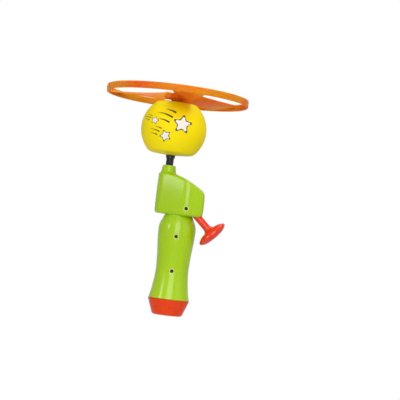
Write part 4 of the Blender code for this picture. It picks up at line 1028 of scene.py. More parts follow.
def shell_bores():
    """Bores for bushes, axle, screws and cord outlet in the shells."""
    bush = NECK_BUSH_RADIUS + CLEARANCE
    groove = bush + 2 * CLEARANCE
    groove_z = ROOF_Z + CLEARANCE
    groove_top = groove_z + NECK_GROOVE_HEIGHT
    neck = [
        (bush, ROOF_Z - 2 * WALL),
        (bush, groove_z),
        (groove, groove_z),
        (groove, groove_top),
        (bush, groove_top),
        (bush, NECK_TOP_Z - NECK_MOUTH),
        (bush + NECK_MOUTH + WALL, NECK_TOP_Z + WALL),
    ]
    foot_radius = FOOT_BUSH_RADIUS + CLEARANCE
    foot = [(foot_radius, LOWER_WEB_Z - WALL), (foot_radius, LOWER_WEB_TOP + WALL)]
    axle_radius = AXLE_RADIUS + CLEARANCE
    axle = [(axle_radius, LOWER_WEB_Z + 2 * CLEARANCE), (axle_radius, UPPER_WEB_TOP + CLEARANCE)]
    stem = STEM_RADIUS + 2 * CLEARANCE
    outlet_radius = OUTLET_RADIUS + CLEARANCE
    outlet = [
        (outlet_radius, OUTLET_SEAT - OUTLET_LENGTH - WALL),
        (outlet_radius, OUTLET_SEAT),
        (stem, OUTLET_SEAT),
        (stem, STEM_LENGTH),
    ]
    bores = [
        place_piece("neck_bore", turned(neck)),
        place_piece("foot_bore", turned(foot)),
        place_piece("axle_bore", turned(axle, matrix=Matrix.Translation((SPOOL_X, 0, 0)))),
        place_piece("outlet_bore", turned(outlet, matrix=PULL_FRAME)),
    ]
    hole = SCREW_RADIUS + CLEARANCE
    recess = SCREW_HEAD_RADIUS + CLEARANCE
    for x, z, front in screw_places():
        bore = [
            (hole, SCREW_SEAT_DEPTH - SCREW_LENGTH - 2 * CLEARANCE),
            (hole, SCREW_SEAT_DEPTH),
            (recess, SCREW_SEAT_DEPTH),
            (recess, front - SCREW_CHAMFER),
            (recess + SCREW_CHAMFER + WALL, front + WALL),
        ]
        bores.append(place_piece("screw_bore", turned(bore, matrix=screw_matrix(x, z))))
    return bores


def neck_solid():
    """The neck: a tapering collar that flows into the roof."""
    flare = sizes().neck_fillet
    profile = [
        (NECK_BASE_RADIUS + flare, ROOF_Z - 2 * WALL),
        (NECK_BASE_RADIUS + flare, ROOF_Z - flare),
        (NECK_BASE_RADIUS, ROOF_Z + flare / 4),
        (NECK_TOP_RADIUS, NECK_TOP_Z),
        (NECK_BUSH_RADIUS, NECK_TOP_Z),
    ]
    return turned(rounded(profile, [0, NECK_FOOT_ROUNDING, flare, NECK_RIM_ROUNDING, 0]))


def seam_tongue(reach, near, inset):
    """A strip inside the wall that crosses the seam to the front, so that no light shows through the seam."""
    inner_edge = CASE_EDGE_RADIUS - inset
    inner_roof_edge = ROOF_EDGE_RADIUS - inset
    strip = place_piece("seam_tongue", case_solid(inset, CASE_Z + inset, inset, inner_edge, inner_roof_edge))
    grip = place_piece("grip_core", grip_solid(CAP_HEIGHT + CLEARANCE / 2, CASE_Z + 2 * inset, inset))
    slab = place_piece("seam_slab", box((-reach, near, 0), (reach, CLEARANCE, ROOF_Z)))
    combine(strip, [grip], "UNION")
    combine(strip, [slab], "INTERSECT")
    discard([grip, slab])
    return strip


def make_shells():
    """Front and rear halves of case, neck and grip, parted on the plane of both axes."""
    body = place_piece("body", case_solid(0.0, CASE_Z, 0.0, CASE_EDGE_RADIUS, ROOF_EDGE_RADIUS, CASE_DRAFT))
    grip_top = CASE_Z + CASE_EDGE_RADIUS / 2
    grip = place_piece("grip", grip_solid(CAP_HEIGHT + CLEARANCE / 2, grip_top, 0.0, GRIP_RIM_RADIUS))
    neck = place_piece("neck", neck_solid())
    combine(body, [grip, neck], "UNION")
    hollow = shell_hollow()
    bores = shell_bores()
    reach = 2 * CASE_RIGHT_X
    parting = CLEARANCE / 2
    top = NECK_TOP_Z + WALL
    tongue = seam_tongue(reach, -TONGUE_REACH, TONGUE_INSET)
    groove = seam_tongue(reach, -TONGUE_REACH - parting, TONGUE_INSET - parting)
    for name, node, near, far in (
        ("front_shell_moulding", "front_shell", -reach, -parting),
        ("rear_shell_moulding", "rear_shell", parting, reach),
    ):
        shell = place_piece(name, box((-reach, near, 0), (reach, far, top)), finish("body_green"))
        combine(shell, [body], "INTERSECT")
        if node == "rear_shell":
            combine(shell, [tongue], "UNION")
        else:
            combine(shell, [groove])
        combine(shell, [hollow, *bores])
        seat(shell, "launcher", "green_plastic", node)
    discard([body, grip, neck, hollow, tongue, groove, *bores])


def make_base_cap():
    """Flared cap with a flat foot, and a spigot that fits inside the bottom of the grip."""
    rim_z = CAP_HEIGHT - CLEARANCE / 2
    rim_x, rim_y = (half + CAP_LIP for half in GRIP_SECTIONS[0][1:])
    foot_x, foot_y = CAP_FOOT
    lean = (rim_y - foot_y) / (rim_x - foot_x)
    edge = CAP_EDGE_RADIUS
    flare = (rim_x - foot_x - edge) / (rim_z - edge)
    corner_x = rim_x - flare * rim_z
    outside = [(foot_x - edge, 0.0), (corner_x, 0.0), (rim_x, rim_z), (rim_x - WALL, rim_z)]
    profile = rounded(outside, [0, edge, CAP_LIP, 0], steps=CAP_STEPS)
    rings = [oval(x, foot_y + (x - foot_x) * lean, z, GRIP_SIDES, GRIP_X) for x, z in profile]
    outer = WALL + CLEARANCE
    inner = outer + CAP_SPIGOT_WALL
    spigot = (
        (rim_z, outer),
        ((rim_z + CAP_SPIGOT_TOP) / 2, outer),
        (CAP_SPIGOT_TOP - CAP_SPIGOT_LEAD, outer),
        (CAP_SPIGOT_TOP, outer + CAP_SPIGOT_LEAD),
        (CAP_SPIGOT_TOP, inner),
        (rim_z, inner),
    )
    rings += [grip_ring(z, inset) for z, inset in spigot]
    rings.append(oval(foot_x - WALL, foot_y - WALL, CAP_FLOOR, GRIP_SIDES, GRIP_X))
    add_piece("base_cap_moulding", skinned(rings), "cap_red", "launcher", "red_orange_plastic", "base_cap")


def node_tree(name, inputs):
    """An empty Geometry Nodes tree, the sockets of its named inputs and its output node."""
    tree = bpy.data.node_groups.new(name, "GeometryNodeTree")
    tree.interface.new_socket("Geometry", in_out="OUTPUT", socket_type="NodeSocketGeometry")
    tree.interface.new_socket("Geometry", in_out="INPUT", socket_type="NodeSocketGeometry")
    for label, kind in inputs:
        tree.interface.new_socket(label, in_out="INPUT", socket_type=kind)
    return tree, tree.nodes.new("NodeGroupInput").outputs, tree.nodes.new("NodeGroupOutput")


def coat(tree, made, geometry, name):
    """End a tree: its geometry made real and given a finish."""
    real = add_node(tree, "GeometryNodeRealizeInstances", Geometry=geometry).outputs["Geometry"]
    coated = add_node(tree, "GeometryNodeSetMaterial", Geometry=real, Material=finish(name))
    tree.links.new(coated.outputs["Geometry"], made.inputs[0])


def grow(obj, tree, values):
    """Run a tree on an object with input values set by socket identifier, and keep the plain mesh."""
    modifier = obj.modifiers.new(tree.name, "NODES")
    modifier.node_group = tree
    for item in tree.interface.items_tree:
        if item.in_out == "INPUT" and item.name in values:
            modifier[item.identifier] = values[item.name]
    settle(obj)


def screw_tree():
    """Geometry Nodes: a cross-headed screw on every point, its thread a ridge on a spiral."""
    labels = ("Head Radius", "Head Height", "Shank Radius", "Shank Length", "Slot Width", "Thread Turns")
    tree, given, made = node_tree("cross_screws", [(label, "NodeSocketFloat") for label in labels])
    head_radius, head_height, radius, length, slot_width, turns = (given[label] for label in labels)

    def times(value, factor):
        return maths(tree, "MULTIPLY", value, factor)

    def lifted(node, height):
        rise = add_node(tree, "ShaderNodeCombineXYZ", Z=height).outputs["Vector"]
        move = add_node(tree, "GeometryNodeTransform", Geometry=node.outputs["Mesh"], Translation=rise)
        return move.outputs["Geometry"]

    head = add_node(tree, "GeometryNodeMeshCylinder", Vertices=SCREW_HEAD_SIDES)
    fill(tree, head, Radius=head_radius, Depth=head_height)
    carved = add_node(tree, "GeometryNodeMeshBoolean", {"operation": "DIFFERENCE", "solver": "EXACT"})
    tree.links.new(head.outputs["Mesh"], carved.inputs[0])
    across = times(head_radius, SLOT_SPAN)
    half_height = times(head_height, 0.5)
    for wide, deep in ((across, slot_width), (slot_width, across)):
        size = add_node(tree, "ShaderNodeCombineXYZ", X=wide, Y=deep, Z=head_height).outputs["Vector"]
        slot = add_node(tree, "GeometryNodeMeshCube", Size=size)
        tree.links.new(lifted(slot, half_height), carved.inputs[1])
    shank = add_node(tree, "GeometryNodeMeshCone", Vertices=SCREW_SIDES, Radius_Top=radius, Depth=length)
    fill(tree, shank, Radius_Bottom=times(radius, SCREW_TIP))
    spiral = add_node(tree, "GeometryNodeCurveSpiral", Resolution=THREAD_STEPS, Rotations=turns)
    fill(tree, spiral, Start_Radius=times(radius, THREAD_START), End_Radius=radius, Height=length)
    ridge = add_node(tree, "GeometryNodeCurvePrimitiveCircle", Resolution=THREAD_SIDES)
    fill(tree, ridge, Radius=times(radius, THREAD_RIDGE))
    thread = add_node(tree, "GeometryNodeCurveToMesh", Curve=spiral.outputs["Curve"], Fill_Caps=True)
    fill(tree, thread, Profile_Curve=ridge.outputs["Curve"])
    below = times(length, -1.0)
    whole = tree.nodes.new("GeometryNodeJoinGeometry")
    for node, height in ((carved, half_height), (shank, below), (thread, below)):
        tree.links.new(lifted(node, height), whole.inputs[0])
    copies = add_node(tree, "GeometryNodeInstanceOnPoints", Points=given["Geometry"])
    fill(tree, copies, Instance=whole.outputs[0], Rotation=(math.pi / 2, 0.0, 0.0))
    coat(tree, made, copies.outputs["Instances"], "screw_steel")
    return tree


def make_screws():
    """The three cross-headed screws that close the shells, seated in their recesses."""
    mesh = bpy.data.meshes.new("shell_screws")
    seat_y = -(SCREW_SEAT_DEPTH + CLEARANCE)
    mesh.from_pydata([(x, seat_y, z) for x, z, _ in screw_places()], [], [])
    screws = add_object("shell_screws", mesh)
    values = {
        "Head Radius": SCREW_HEAD_RADIUS,
        "Head Height": SCREW_HEAD_HEIGHT,
        "Shank Radius": SCREW_RADIUS,
        "Shank Length": SCREW_LENGTH,
        "Slot Width": sizes().slot_width,
        "Thread Turns": THREAD_TURNS,
    }
    grow(screws, screw_tree(), values)
    seat(screws, "launcher", "steel", *SCREW_NODES)


def make_spindle():
    """The black drive spindle: foot, pinion seat with a clip groove, shaft, collar and hexagon tip."""
    shaft_z = PINION_TOP + CLEARANCE
    profile = [
        (SPINDLE_FOOT_RADIUS, LOWER_WEB_Z),
        (SPINDLE_FOOT_RADIUS, SPINDLE_FOOT_TOP),
        (SPINDLE_SEAT_RADIUS, SPINDLE_FOOT_TOP),
        (SPINDLE_SEAT_RADIUS, CLIP_GROOVE_Z),
        (CLIP_GROOVE_RADIUS, CLIP_GROOVE_Z),
        (CLIP_GROOVE_RADIUS, PINION_Z),
        (SPINDLE_SEAT_RADIUS, PINION_Z),
        (SPINDLE_SEAT_RADIUS, shaft_z),
        (SPINDLE_RADIUS, shaft_z),
        (SPINDLE_RADIUS, COLLAR_Z),
        (SPINDLE_COLLAR_RADIUS, COLLAR_Z),
        (SPINDLE_COLLAR_RADIUS, COLLAR_TOP),
    ]
    shaft = rounded(profile, SPINDLE_ROUNDING, steps=TURNED_STEPS)
    rings = [oval(radius, radius, z, ROUND_SIDES) for radius, z in shaft]
    tip = DRIVE_HEX_HALF_FLATS / 2
    rings.append(hexagon(DRIVE_HEX_HALF_FLATS, COLLAR_TOP, ROUND_SIDES))
    rings.append(hexagon(DRIVE_HEX_HALF_FLATS, HEX_TIP_Z - tip, ROUND_SIDES))
    rings.append(hexagon(tip, HEX_TIP_Z, ROUND_SIDES))
    bm = skinned(rings)
    add_piece("spindle_moulding", bm, "spindle_black", "spindle", "black_plastic", "drive_spindle")


def make_sleeve():
    """Sleeve through the ball: a hexagon socket for the spindle, a flange under the ball's top, a spigot."""
    flange_z = SLEEVE_FLANGE_TOP - SLEEVE_FLANGE_THICKNESS
    rings = [hexagon(SOCKET_HALF_FLATS, z, ROUND_SIDES) for z in (SOCKET_TOP, SLEEVE_Z)]
    profile = [
        (SLEEVE_RADIUS, SLEEVE_Z),
        (SLEEVE_RADIUS, flange_z),
        (SLEEVE_FLANGE_RADIUS, flange_z),
        (SLEEVE_FLANGE_RADIUS, SLEEVE_FLANGE_TOP),
        (SLEEVE_RADIUS, SLEEVE_FLANGE_TOP),
        (SLEEVE_RADIUS, SLEEVE_TOP),
        (PILOT_RADIUS, SLEEVE_TOP),
        (PILOT_RADIUS, PILOT_Z),
    ]
    outside = rounded([(SOCKET_HALF_FLATS, SLEEVE_Z), *profile], SLEEVE_ROUNDING, steps=TURNED_STEPS)[1:]
    rings += [oval(radius, radius, z, ROUND_SIDES) for radius, z in outside]
    add_piece("sleeve_moulding", skinned(rings), "spindle_black", "flyer", "black_plastic", "drive_sleeve")


def arc(centre_r, centre_z, radius, start, end, steps):
    """Points of an arc in a turned profile."""
    turns = [start + (end - start) * i / steps for i in range(steps + 1)]
    return [(centre_r + radius * math.cos(turn), centre_z + radius * math.sin(turn)) for turn in turns]


def ball_profile(inset, opening, steps):
    """Turned profile of the ball, moved inwards: a sagging bottom, round sides and a flat top."""
    radius = HEAD_RADIUS - inset
    foot_edge = HEAD_FOOT_RADIUS - inset
    top_edge = HEAD_EDGE_RADIUS - inset
    low = HEAD_Z + inset
    high = HEAD_TOP - inset
    bottom = low + HEAD_SAG

    def rounding(drop, edge):
        fillet = math.sqrt((radius - edge) ** 2 - drop**2)
        return fillet, math.atan2(drop, fillet)

    lower_r, lower_meet = rounding(HEAD_CENTRE_Z - bottom - foot_edge, foot_edge)
    upper_r, upper_meet = rounding(high - HEAD_CENTRE_Z - top_edge, top_edge)
    lower = arc(lower_r, bottom + foot_edge, foot_edge, -math.pi / 2, -lower_meet, 2 * EDGE_STEPS)
    side = arc(0.0, HEAD_CENTRE_Z, radius, -lower_meet, upper_meet, steps)
    upper = arc(upper_r, high - top_edge, top_edge, upper_meet, math.pi / 2, EDGE_STEPS)
    return [(opening, low)] + lower + side[1:-1] + upper + [(opening, high)]


def make_ball():
    """Hollow ball head, open at both ends for the sleeve."""
    opening = SLEEVE_RADIUS + CLEARANCE
    outside = ball_profile(0.0, opening, BALL_SIDES // 2)
    inside = ball_profile(HEAD_WALL, opening, BALL_SIDES // 4)
    skin_form = turned(outside + list(reversed(inside)), True, BALL_SIDES)
    add_piece("ball_skin", skin_form, "ball_yellow", "flyer", "yellow_vinyl", "head_ball")


def on_ball(a, b, height):
    """Point over the ball's front at a sideways and b upwards from its middle."""
    depth = math.sqrt(HEAD_RADIUS**2 - a * a - b * b)
    out = (HEAD_RADIUS + height) / HEAD_RADIUS
    return Vector((a * out, -depth * out, HEAD_CENTRE_Z + b * out))


def printed(bm, rows, height):
    """A closed film of ink over rows of points on the ball's front."""
    rims = []
    for level in (height, -height):
        grid = [[bm.verts.new(on_ball(a, b, level)) for a, b in row] for row in rows]
        for lower, upper in zip(grid, grid[1:]):
            for i in range(len(lower) - 1):
                bm.faces.new((lower[i], lower[i + 1], upper[i + 1], upper[i]))
        right = [row[-1] for row in grid[1:-1]]
        left = [row[0] for row in reversed(grid[1:-1])]
        rims.append(grid[0] + right + list(reversed(grid[-1])) + left)
    bridge(bm, *rims)


def print_star(bm, centre, radius, turn, height):
    """A five-pointed star of ink with softened points, as wedges from its middle."""
    corners = []
    for i in range(10):
        reach = radius if i % 2 == 0 else radius * STAR_WAIST
        angle = turn + math.tau * i / 10
        corners.append((reach * math.cos(angle), reach * math.sin(angle)))
    outline = rounded(corners, [radius * share for share in STAR_ROUNDING] * 5, True, FINE_EDGE_STEPS)
    rims = []
    for level in (height, -height):
        middle = bm.verts.new(on_ball(*centre, level))
        loops = []
        for k in range(1, STAR_RINGS + 1):
            share = k / STAR_RINGS
            ring = [(centre[0] + a * share, centre[1] + b * share) for a, b in outline]
            loops.append([bm.verts.new(on_ball(a, b, level)) for a, b in ring])
        for i in range(len(outline)):
            j = (i + 1) % len(outline)
            bm.faces.new((middle, loops[0][i], loops[0][j]))
            for inner, outer in zip(loops, loops[1:]):
                bm.faces.new((inner[i], outer[i], outer[j], inner[j]))
        rims.append(loops[-1])
    bridge(bm, *rims)


def print_trail(bm, start, length, width, height):
    """A tapering, bending streak of ink behind a star."""
    place = Vector(start)
    angle = TRAIL_HEADING
    rows = []
    for i in range(TRAIL_STEPS + 1):
        half = width * (1 - (i / TRAIL_STEPS) ** TRAIL_TAPER) + width * TRAIL_END
        side = Vector((-math.sin(angle), math.cos(angle)))
        rows.append([tuple(place + side * half * k) for k in (-1.0, -0.5, 0.0, 0.5, 1.0)])
        angle += TRAIL_BEND / TRAIL_STEPS
        place = place + Vector((math.cos(angle), math.sin(angle))) * (length / TRAIL_STEPS)
    printed(bm, rows, height)


def make_print():
    """Generic shooting stars printed on the ball's front: white stars with brown edges and streaks."""
    film = sizes().print_height
    unit = sizes().star_radius
    dark = bmesh.new()
    light = bmesh.new()
    ahead = Vector((math.cos(TRAIL_HEADING), math.sin(TRAIL_HEADING)))
    side = Vector((-ahead.y, ahead.x))
    for (across, up), share, turn in STARS:
        centre = (across * unit, up * unit)
        radius = share * unit
        print_star(dark, centre, radius, turn, film)
        print_star(light, centre, radius * STAR_FACE, turn, film * 2)
        for offset, length in TRAILS:
            start = Vector(centre) + ahead * radius * TRAIL_GAP + side * offset * radius
            print_trail(dark, start, length * radius, TRAIL_WIDTH * radius, film)
    add_piece("star_print_brown", dark, "print_brown", "flyer", None)
    add_piece("star_print_white", light, "print_white", "flyer", None)


def hub_form():
    """The propeller's hub: a collar, a body with soft ribs, a socket below and a screw recess above."""
    ribs = sizes().rib_count
    sides = ribs * RIB_FACETS
    cap = HUB_CAP_RADIUS + CLEARANCE
    socket = SLEEVE_RADIUS + CLEARANCE
    recess_z = HUB_CAP_Z - CLEARANCE
    socket_top = SLEEVE_TOP + CLEARANCE

    def ribbed(radius, z, share):
        points = []
        for i in range(sides):
            phase = (i / sides * ribs) % 1.0
            wave = 0.5 + 0.5 * math.cos(math.tau * phase)
            bump = min(max(RIB_STEEPNESS * wave - RIB_GAP, 0.0), 1.0)
            reach = radius + HUB_RIB_HEIGHT * share * bump * bump * (3 - 2 * bump)
            angle = math.tau * i / sides
            points.append((reach * math.cos(angle), reach * math.sin(angle), z))
        return points

    edge = HUB_RIB_HEIGHT
    corners = [
        (socket, HUB_Z),
        (HUB_COLLAR_RADIUS, HUB_Z),
        (HUB_COLLAR_RADIUS, HUB_COLLAR_TOP),
        (HUB_RADIUS, HUB_BODY_Z),
        (HUB_RADIUS, HUB_TOP),
        (cap, HUB_TOP),
    ]
    outside = rounded(corners, [0, CLEARANCE, edge / 2, edge, edge, 0])
    rings = [oval(socket, socket, socket_top, sides)]
    for radius, z in outside:
        share = max(0.0, 1.0 - (HUB_RADIUS - radius) / edge)
        rings.append(ribbed(radius, z, share))
    inner = [
        (cap, recess_z),
        (HUB_SCREW_RECESS_RADIUS, recess_z),
        (HUB_SCREW_RECESS_RADIUS, HUB_SCREW_SEAT_Z),
        (PILOT_RADIUS, HUB_SCREW_SEAT_Z),
        (PILOT_RADIUS, socket_top),
    ]
    rings += [oval(radius, radius, z, sides) for radius, z in inner]
    return place_piece("hub_form", skinned(rings, True))


def hoop_form():
    """The hoop round the blades, with rounded edges."""
    inside = PROPELLER_RADIUS - HOOP_THICKNESS
    low = BLADE_Z - HOOP_HEIGHT / 2
    high = BLADE_Z + HOOP_HEIGHT / 2
    corners = [(inside, high), (inside, low), (PROPELLER_RADIUS, low), (PROPELLER_RADIUS, high)]
    profile = rounded(corners, HOOP_THICKNESS * HOOP_ROUNDING, True, FINE_EDGE_STEPS)
    return place_piece("hoop_form", turned(profile, True, HOOP_SIDES))


def blade_form():
    """One blade on +X: wrapped on the radius, its leading edge raised, swelling into hub and hoop."""
    swell = sizes().root_fillet
    root = HUB_RADIUS - 2 * HUB_RIB_HEIGHT
    hoop_inside = PROPELLER_RADIUS - HOOP_THICKNESS
    tip = PROPELLER_RADIUS - HOOP_THICKNESS / 2
    rings = []
    for i in range(BLADE_STEPS + 1):
        share = i / BLADE_STEPS
        eased = (1 - math.cos(math.pi * share)) / 2
        radius = root + (tip - root) * (share + (eased - share) * BLADE_END_CROWDING)
        span = max((radius - HUB_RADIUS) / (PROPELLER_RADIUS - HUB_RADIUS), 0.0)
        chord = BLADE_ROOT_CHORD + (BLADE_TIP_CHORD - BLADE_ROOT_CHORD) * span**BLADE_WIDENING
        slope = BLADE_ADVANCE / max(radius, BLADE_STEEPEST_RADIUS)
        thicker = swell * math.exp(-max(radius - HUB_RADIUS, 0) / BLADE_FILLET_FADE)
        thicker += swell * math.exp(-max(hoop_inside - radius, 0) / BLADE_FILLET_FADE)
        upper = []
        lower = []
        for k in range(BLADE_STATIONS):
            across = -math.cos(math.pi * k / (BLADE_STATIONS - 1))
            run = across * chord / 2
            belly = BLADE_EDGE_THICKNESS + (BLADE_THICKNESS - BLADE_EDGE_THICKNESS) * (1 - across**2)
            nose_share = max(abs(across) - BLADE_NOSE_START, 0) / (1 - BLADE_NOSE_START)
            nose = math.sqrt(max(1 - nose_share, BLADE_NOSE_END))
            half = (belly / 2 + thicker * (1 - across**2)) * nose
            turn = -run / radius
            spot = (radius * math.cos(turn), radius * math.sin(turn))
            height = BLADE_Z + run * slope
            upper.append((*spot, height + half))
            lower.append((*spot, height - half))
        rings.append(upper + list(reversed(lower)))
    bm = bmesh.new()
    loops = skin(bm, rings, caps=False)
    for loop in (loops[0], loops[-1]):
        for i in range(len(loop) // 2 - 1):
            bm.faces.new((loop[i], loop[i + 1], loop[-(i + 2)], loop[-(i + 1)]))
    return place_piece("blade_form", bm)


def propeller_tree():
    """Geometry Nodes: blades repeated round the hub, then hub, blades and hoop joined in one moulding."""
    kinds = (
        ("Blade Count", "NodeSocketInt"),
        ("First Angle", "NodeSocketFloat"),
        ("Blade", "NodeSocketObject"),
        ("Hoop", "NodeSocketObject"),
    )
    tree, given, made = node_tree("propeller_moulding", kinds)
    count = given["Blade Count"]
    blade = add_node(tree, "GeometryNodeObjectInfo", Object=given["Blade"]).outputs["Geometry"]
    hoop = add_node(tree, "GeometryNodeObjectInfo", Object=given["Hoop"]).outputs["Geometry"]
    points = add_node(tree, "GeometryNodePoints", Count=count).outputs[0]
    index = tree.nodes.new("GeometryNodeInputIndex").outputs[0]
    share = maths(tree, "DIVIDE", index, count)
    angle = maths(tree, "MULTIPLY_ADD", share, math.tau, given["First Angle"])
    turn = add_node(tree, "ShaderNodeCombineXYZ", Z=angle).outputs["Vector"]
    copies = add_node(tree, "GeometryNodeInstanceOnPoints", Points=points, Instance=blade, Rotation=turn)
    blades = add_node(tree, "GeometryNodeRealizeInstances", Geometry=copies.outputs["Instances"])
    joined = add_node(tree, "GeometryNodeMeshBoolean", {"operation": "UNION", "solver": "EXACT"})
    for geometry in (given["Geometry"], hoop, blades.outputs["Geometry"]):
        tree.links.new(geometry, joined.inputs[1])
    coat(tree, made, joined.outputs["Mesh"], "propeller_orange")
    return tree


def make_propeller():
    """Hub, blades and hoop in one moulding."""
    propeller = hub_form()
    propeller.name = "propeller_moulding"
    blade = blade_form()
    hoop = hoop_form()
    values = {
        "Blade Count": sizes().blade_count,
        "First Angle": FIRST_BLADE_ANGLE,
        "Blade": blade,
        "Hoop": hoop,
    }
    grow(propeller, propeller_tree(), values)
    discard([blade, hoop])
    seat(propeller, "flyer", "orange_plastic", "propeller")


def make_hub_cap():
    """The domed cap over the hub's screw."""
    dome_radius = (HUB_CAP_RADIUS**2 + HUB_CAP_DOME**2) / (2 * HUB_CAP_DOME)
    turn = math.asin(HUB_CAP_RADIUS / dome_radius)
    dome_z = HUB_TOP + HUB_CAP_DOME - dome_radius
    end = math.pi / 2 - turn * HUB_CAP_FLAT
    dome = arc(0.0, dome_z, dome_radius, math.pi / 2 - turn, end, 2 * EDGE_STEPS)
    cap_form = turned([(HUB_CAP_RADIUS, HUB_CAP_Z), *dome])
    add_piece("hub_cap_moulding", cap_form, "cap_red", "flyer", "red_orange_plastic", "hub_cap")


def handle_ring(x, z, sides):
    """A section of the pull handle: round on the stem, stretched on the flange."""
    y = x
    if x > STEM_RADIUS:
        stretch = (TOGGLE_HALF_WIDTH - STEM_RADIUS) / (TOGGLE_HALF_LENGTH - STEM_RADIUS)
        y = STEM_RADIUS + (x - STEM_RADIUS) * stretch
    return oval(x, y, z, sides)


def make_pull_handle():
    """The pull handle, a stem that flares into an oval flange, with the plug over its knot."""
    profile = [
        (CORD_BORE_RADIUS, KNOT_POCKET_Z),
        (CORD_BORE_RADIUS, STEM_END),
        (STEM_RADIUS, STEM_END),
        (STEM_RADIUS, STEM_LENGTH),
    ]
    radii = [0, CLEARANCE, 2 * CLEARANCE, STEM_RADIUS]
    for half_length, rise, rounding in FLANGE_OUTLINE:
        profile.append((half_length, STEM_LENGTH + rise))
        radii.append(rounding)
    profile += [(KNOT_POCKET_RADIUS, TOGGLE_TOP), (KNOT_POCKET_RADIUS, KNOT_POCKET_Z)]
    radii += [CLEARANCE, 0]
    bm = skinned([handle_ring(x, z, ROUND_SIDES) for x, z in rounded(profile, radii, True)], True)
    bm.transform(PULL_FRAME)
    add_piece("pull_handle_moulding", bm, "handle_red", "pull", "red_orange_plastic", "pull_handle")

    side = KNOT_POCKET_RADIUS - CLEARANCE
    plug = [(side, TOGGLE_TOP - PLUG_THICKNESS), (side, TOGGLE_TOP), (PLUG_MIDDLE, TOGGLE_TOP)]
    piece = turned(rounded(plug, [0, PLUG_ROUNDING, 0]), matrix=PULL_FRAME)
    add_piece("handle_plug_moulding", piece, "handle_red", "pull", "red_orange_plastic", "handle_plug")


def tube(points, radius, closed=False):
    """A round tube along points, its rings carried along without twist."""
    following = points[1:] + (points[:1] if closed else points[-1:])
    previous = (points[-1:] if closed else points[:1]) + points[:-1]
    ahead = [(after - before).normalized() for after, before in zip(following, previous)]
    side = ahead[0].orthogonal().normalized()
    turns = [math.tau * k / CORD_SIDES for k in range(CORD_SIDES)]
    rings = []
    for point, heading in zip(points, ahead):
        side = (side - heading * side.dot(heading)).normalized()
        other = heading.cross(side)
        rings.append([tuple(point + (side * math.cos(t) + other * math.sin(t)) * radius) for t in turns])
    return skinned(rings, closed)


def make_cord():
    """The pull cord: its turns on the drum, the straight run to the handle, and the knot."""
    points = []
    for i in range(round(WINDING_TURNS * CORD_STEPS) + 1):
        angle = -math.pi / 2 - math.tau * i / CORD_STEPS
        x = SPOOL_X + WINDING_RADIUS * math.cos(angle)
        height = WINDING_Z + WINDING_PITCH * i / CORD_STEPS
        points.append(Vector((x, WINDING_RADIUS * math.sin(angle), height)))
    turns = tube(points, CORD_RADIUS)
    add_piece("cord_turns", turns, "winding_cord", "spool", "white_cord", "cord_winding")

    first, last = STEM_END - CORD_STRETCH, STEM_END + CORD_STRETCH
    places = [CORD_START, (CORD_START + first) / 2]
    places += [first + (last - first) * i / CORD_STEPS for i in range(CORD_STEPS + 1)]
    places += [KNOT_POCKET_Z / 2, KNOT_POCKET_Z]
    straight = tube([PULL_FRAME @ Vector((0, 0, place)) for place in places], CORD_RADIUS)
    run = place_piece("cord_run", straight, finish("pull_cord"))
    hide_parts("pull_cord")
    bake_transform(run)

    loops = []
    size = (KNOT_RADIUS - CORD_RADIUS) / 3
    middle = KNOT_POCKET_Z + CLEARANCE + KNOT_RADIUS
    for i in range(2 * CORD_STEPS):
        t = math.pi * i / CORD_STEPS
        x = size * (math.sin(t) + 2 * math.sin(2 * t))
        y = size * (math.cos(t) - 2 * math.cos(2 * t))
        loops.append(PULL_FRAME @ Vector((x, y, middle - KNOT_SPREAD * size * math.sin(3 * t))))
    knot = tube(loops, CORD_RADIUS, True)
    add_piece("cord_knot_tied", knot, "pull_cord", "pull", "white_cord", "cord_knot")


def spring_tree():
    """Geometry Nodes: a flat strip along a level spiral."""
    labels = ("Turns", "Inner", "Outer", "Thickness", "Height")
    tree, given, made = node_tree("spiral_spring", [(label, "NodeSocketFloat") for label in labels])
    turns, inner, outer, thickness, height = (given[label] for label in labels)
    spiral = add_node(tree, "GeometryNodeCurveSpiral", Resolution=SPRING_STEPS, Rotations=turns, Height=0.0)
    fill(tree, spiral, Start_Radius=inner, End_Radius=outer)
    strip = add_node(tree, "GeometryNodeCurvePrimitiveQuadrilateral", Width=thickness, Height=height)
    level = add_node(tree, "GeometryNodeSetCurveNormal", Curve=spiral.outputs["Curve"])
    coil = add_node(tree, "GeometryNodeCurveToMesh", Curve=level.outputs["Curve"], Fill_Caps=True)
    fill(tree, coil, Profile_Curve=strip.outputs["Curve"])
    coat(tree, made, coil.outputs["Mesh"], "spring_steel")
    return tree


def make_return_spring():
    """Flat spiral spring between the axle and the drum's wall."""
    spring = add_object("spiral_spring", bpy.data.meshes.new("spiral_spring"))
    low, high = low_z("return_spring"), high_z("return_spring")
    values = {
        "Turns": SPRING_TURNS,
        "Inner": SPRING_INNER_RADIUS,
        "Outer": SPRING_OUTER_RADIUS,
        "Thickness": SPRING_STRIP,
        "Height": high - low,
    }
    grow(spring, spring_tree(), values)
    spring.data.transform(Matrix.Translation((SPOOL_X, 0, (low + high) / 2)))
    seat(spring, "spool", "steel", "return_spring")


INNER_FINISHES = {
    "neck_bush": "nylon",
    "foot_bush": "nylon",
    "cord_outlet": "nylon",
    "spindle_pinion": "nylon",
    "spool_gear": "nylon",
    "spring_cover": "nylon",
    "spool_axle": "steel",
    "spool_washer": "steel",
    "hub_screw": "steel",
    "spindle_clip": "spring_steel",
}


def make_inner_works():
    """Finishes of the gears, bushes and metal that keep the frame's own shapes."""
    for node, name in INNER_FINISHES.items():
        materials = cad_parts[node].data.materials
        materials.clear()
        materials.append(finish(name))


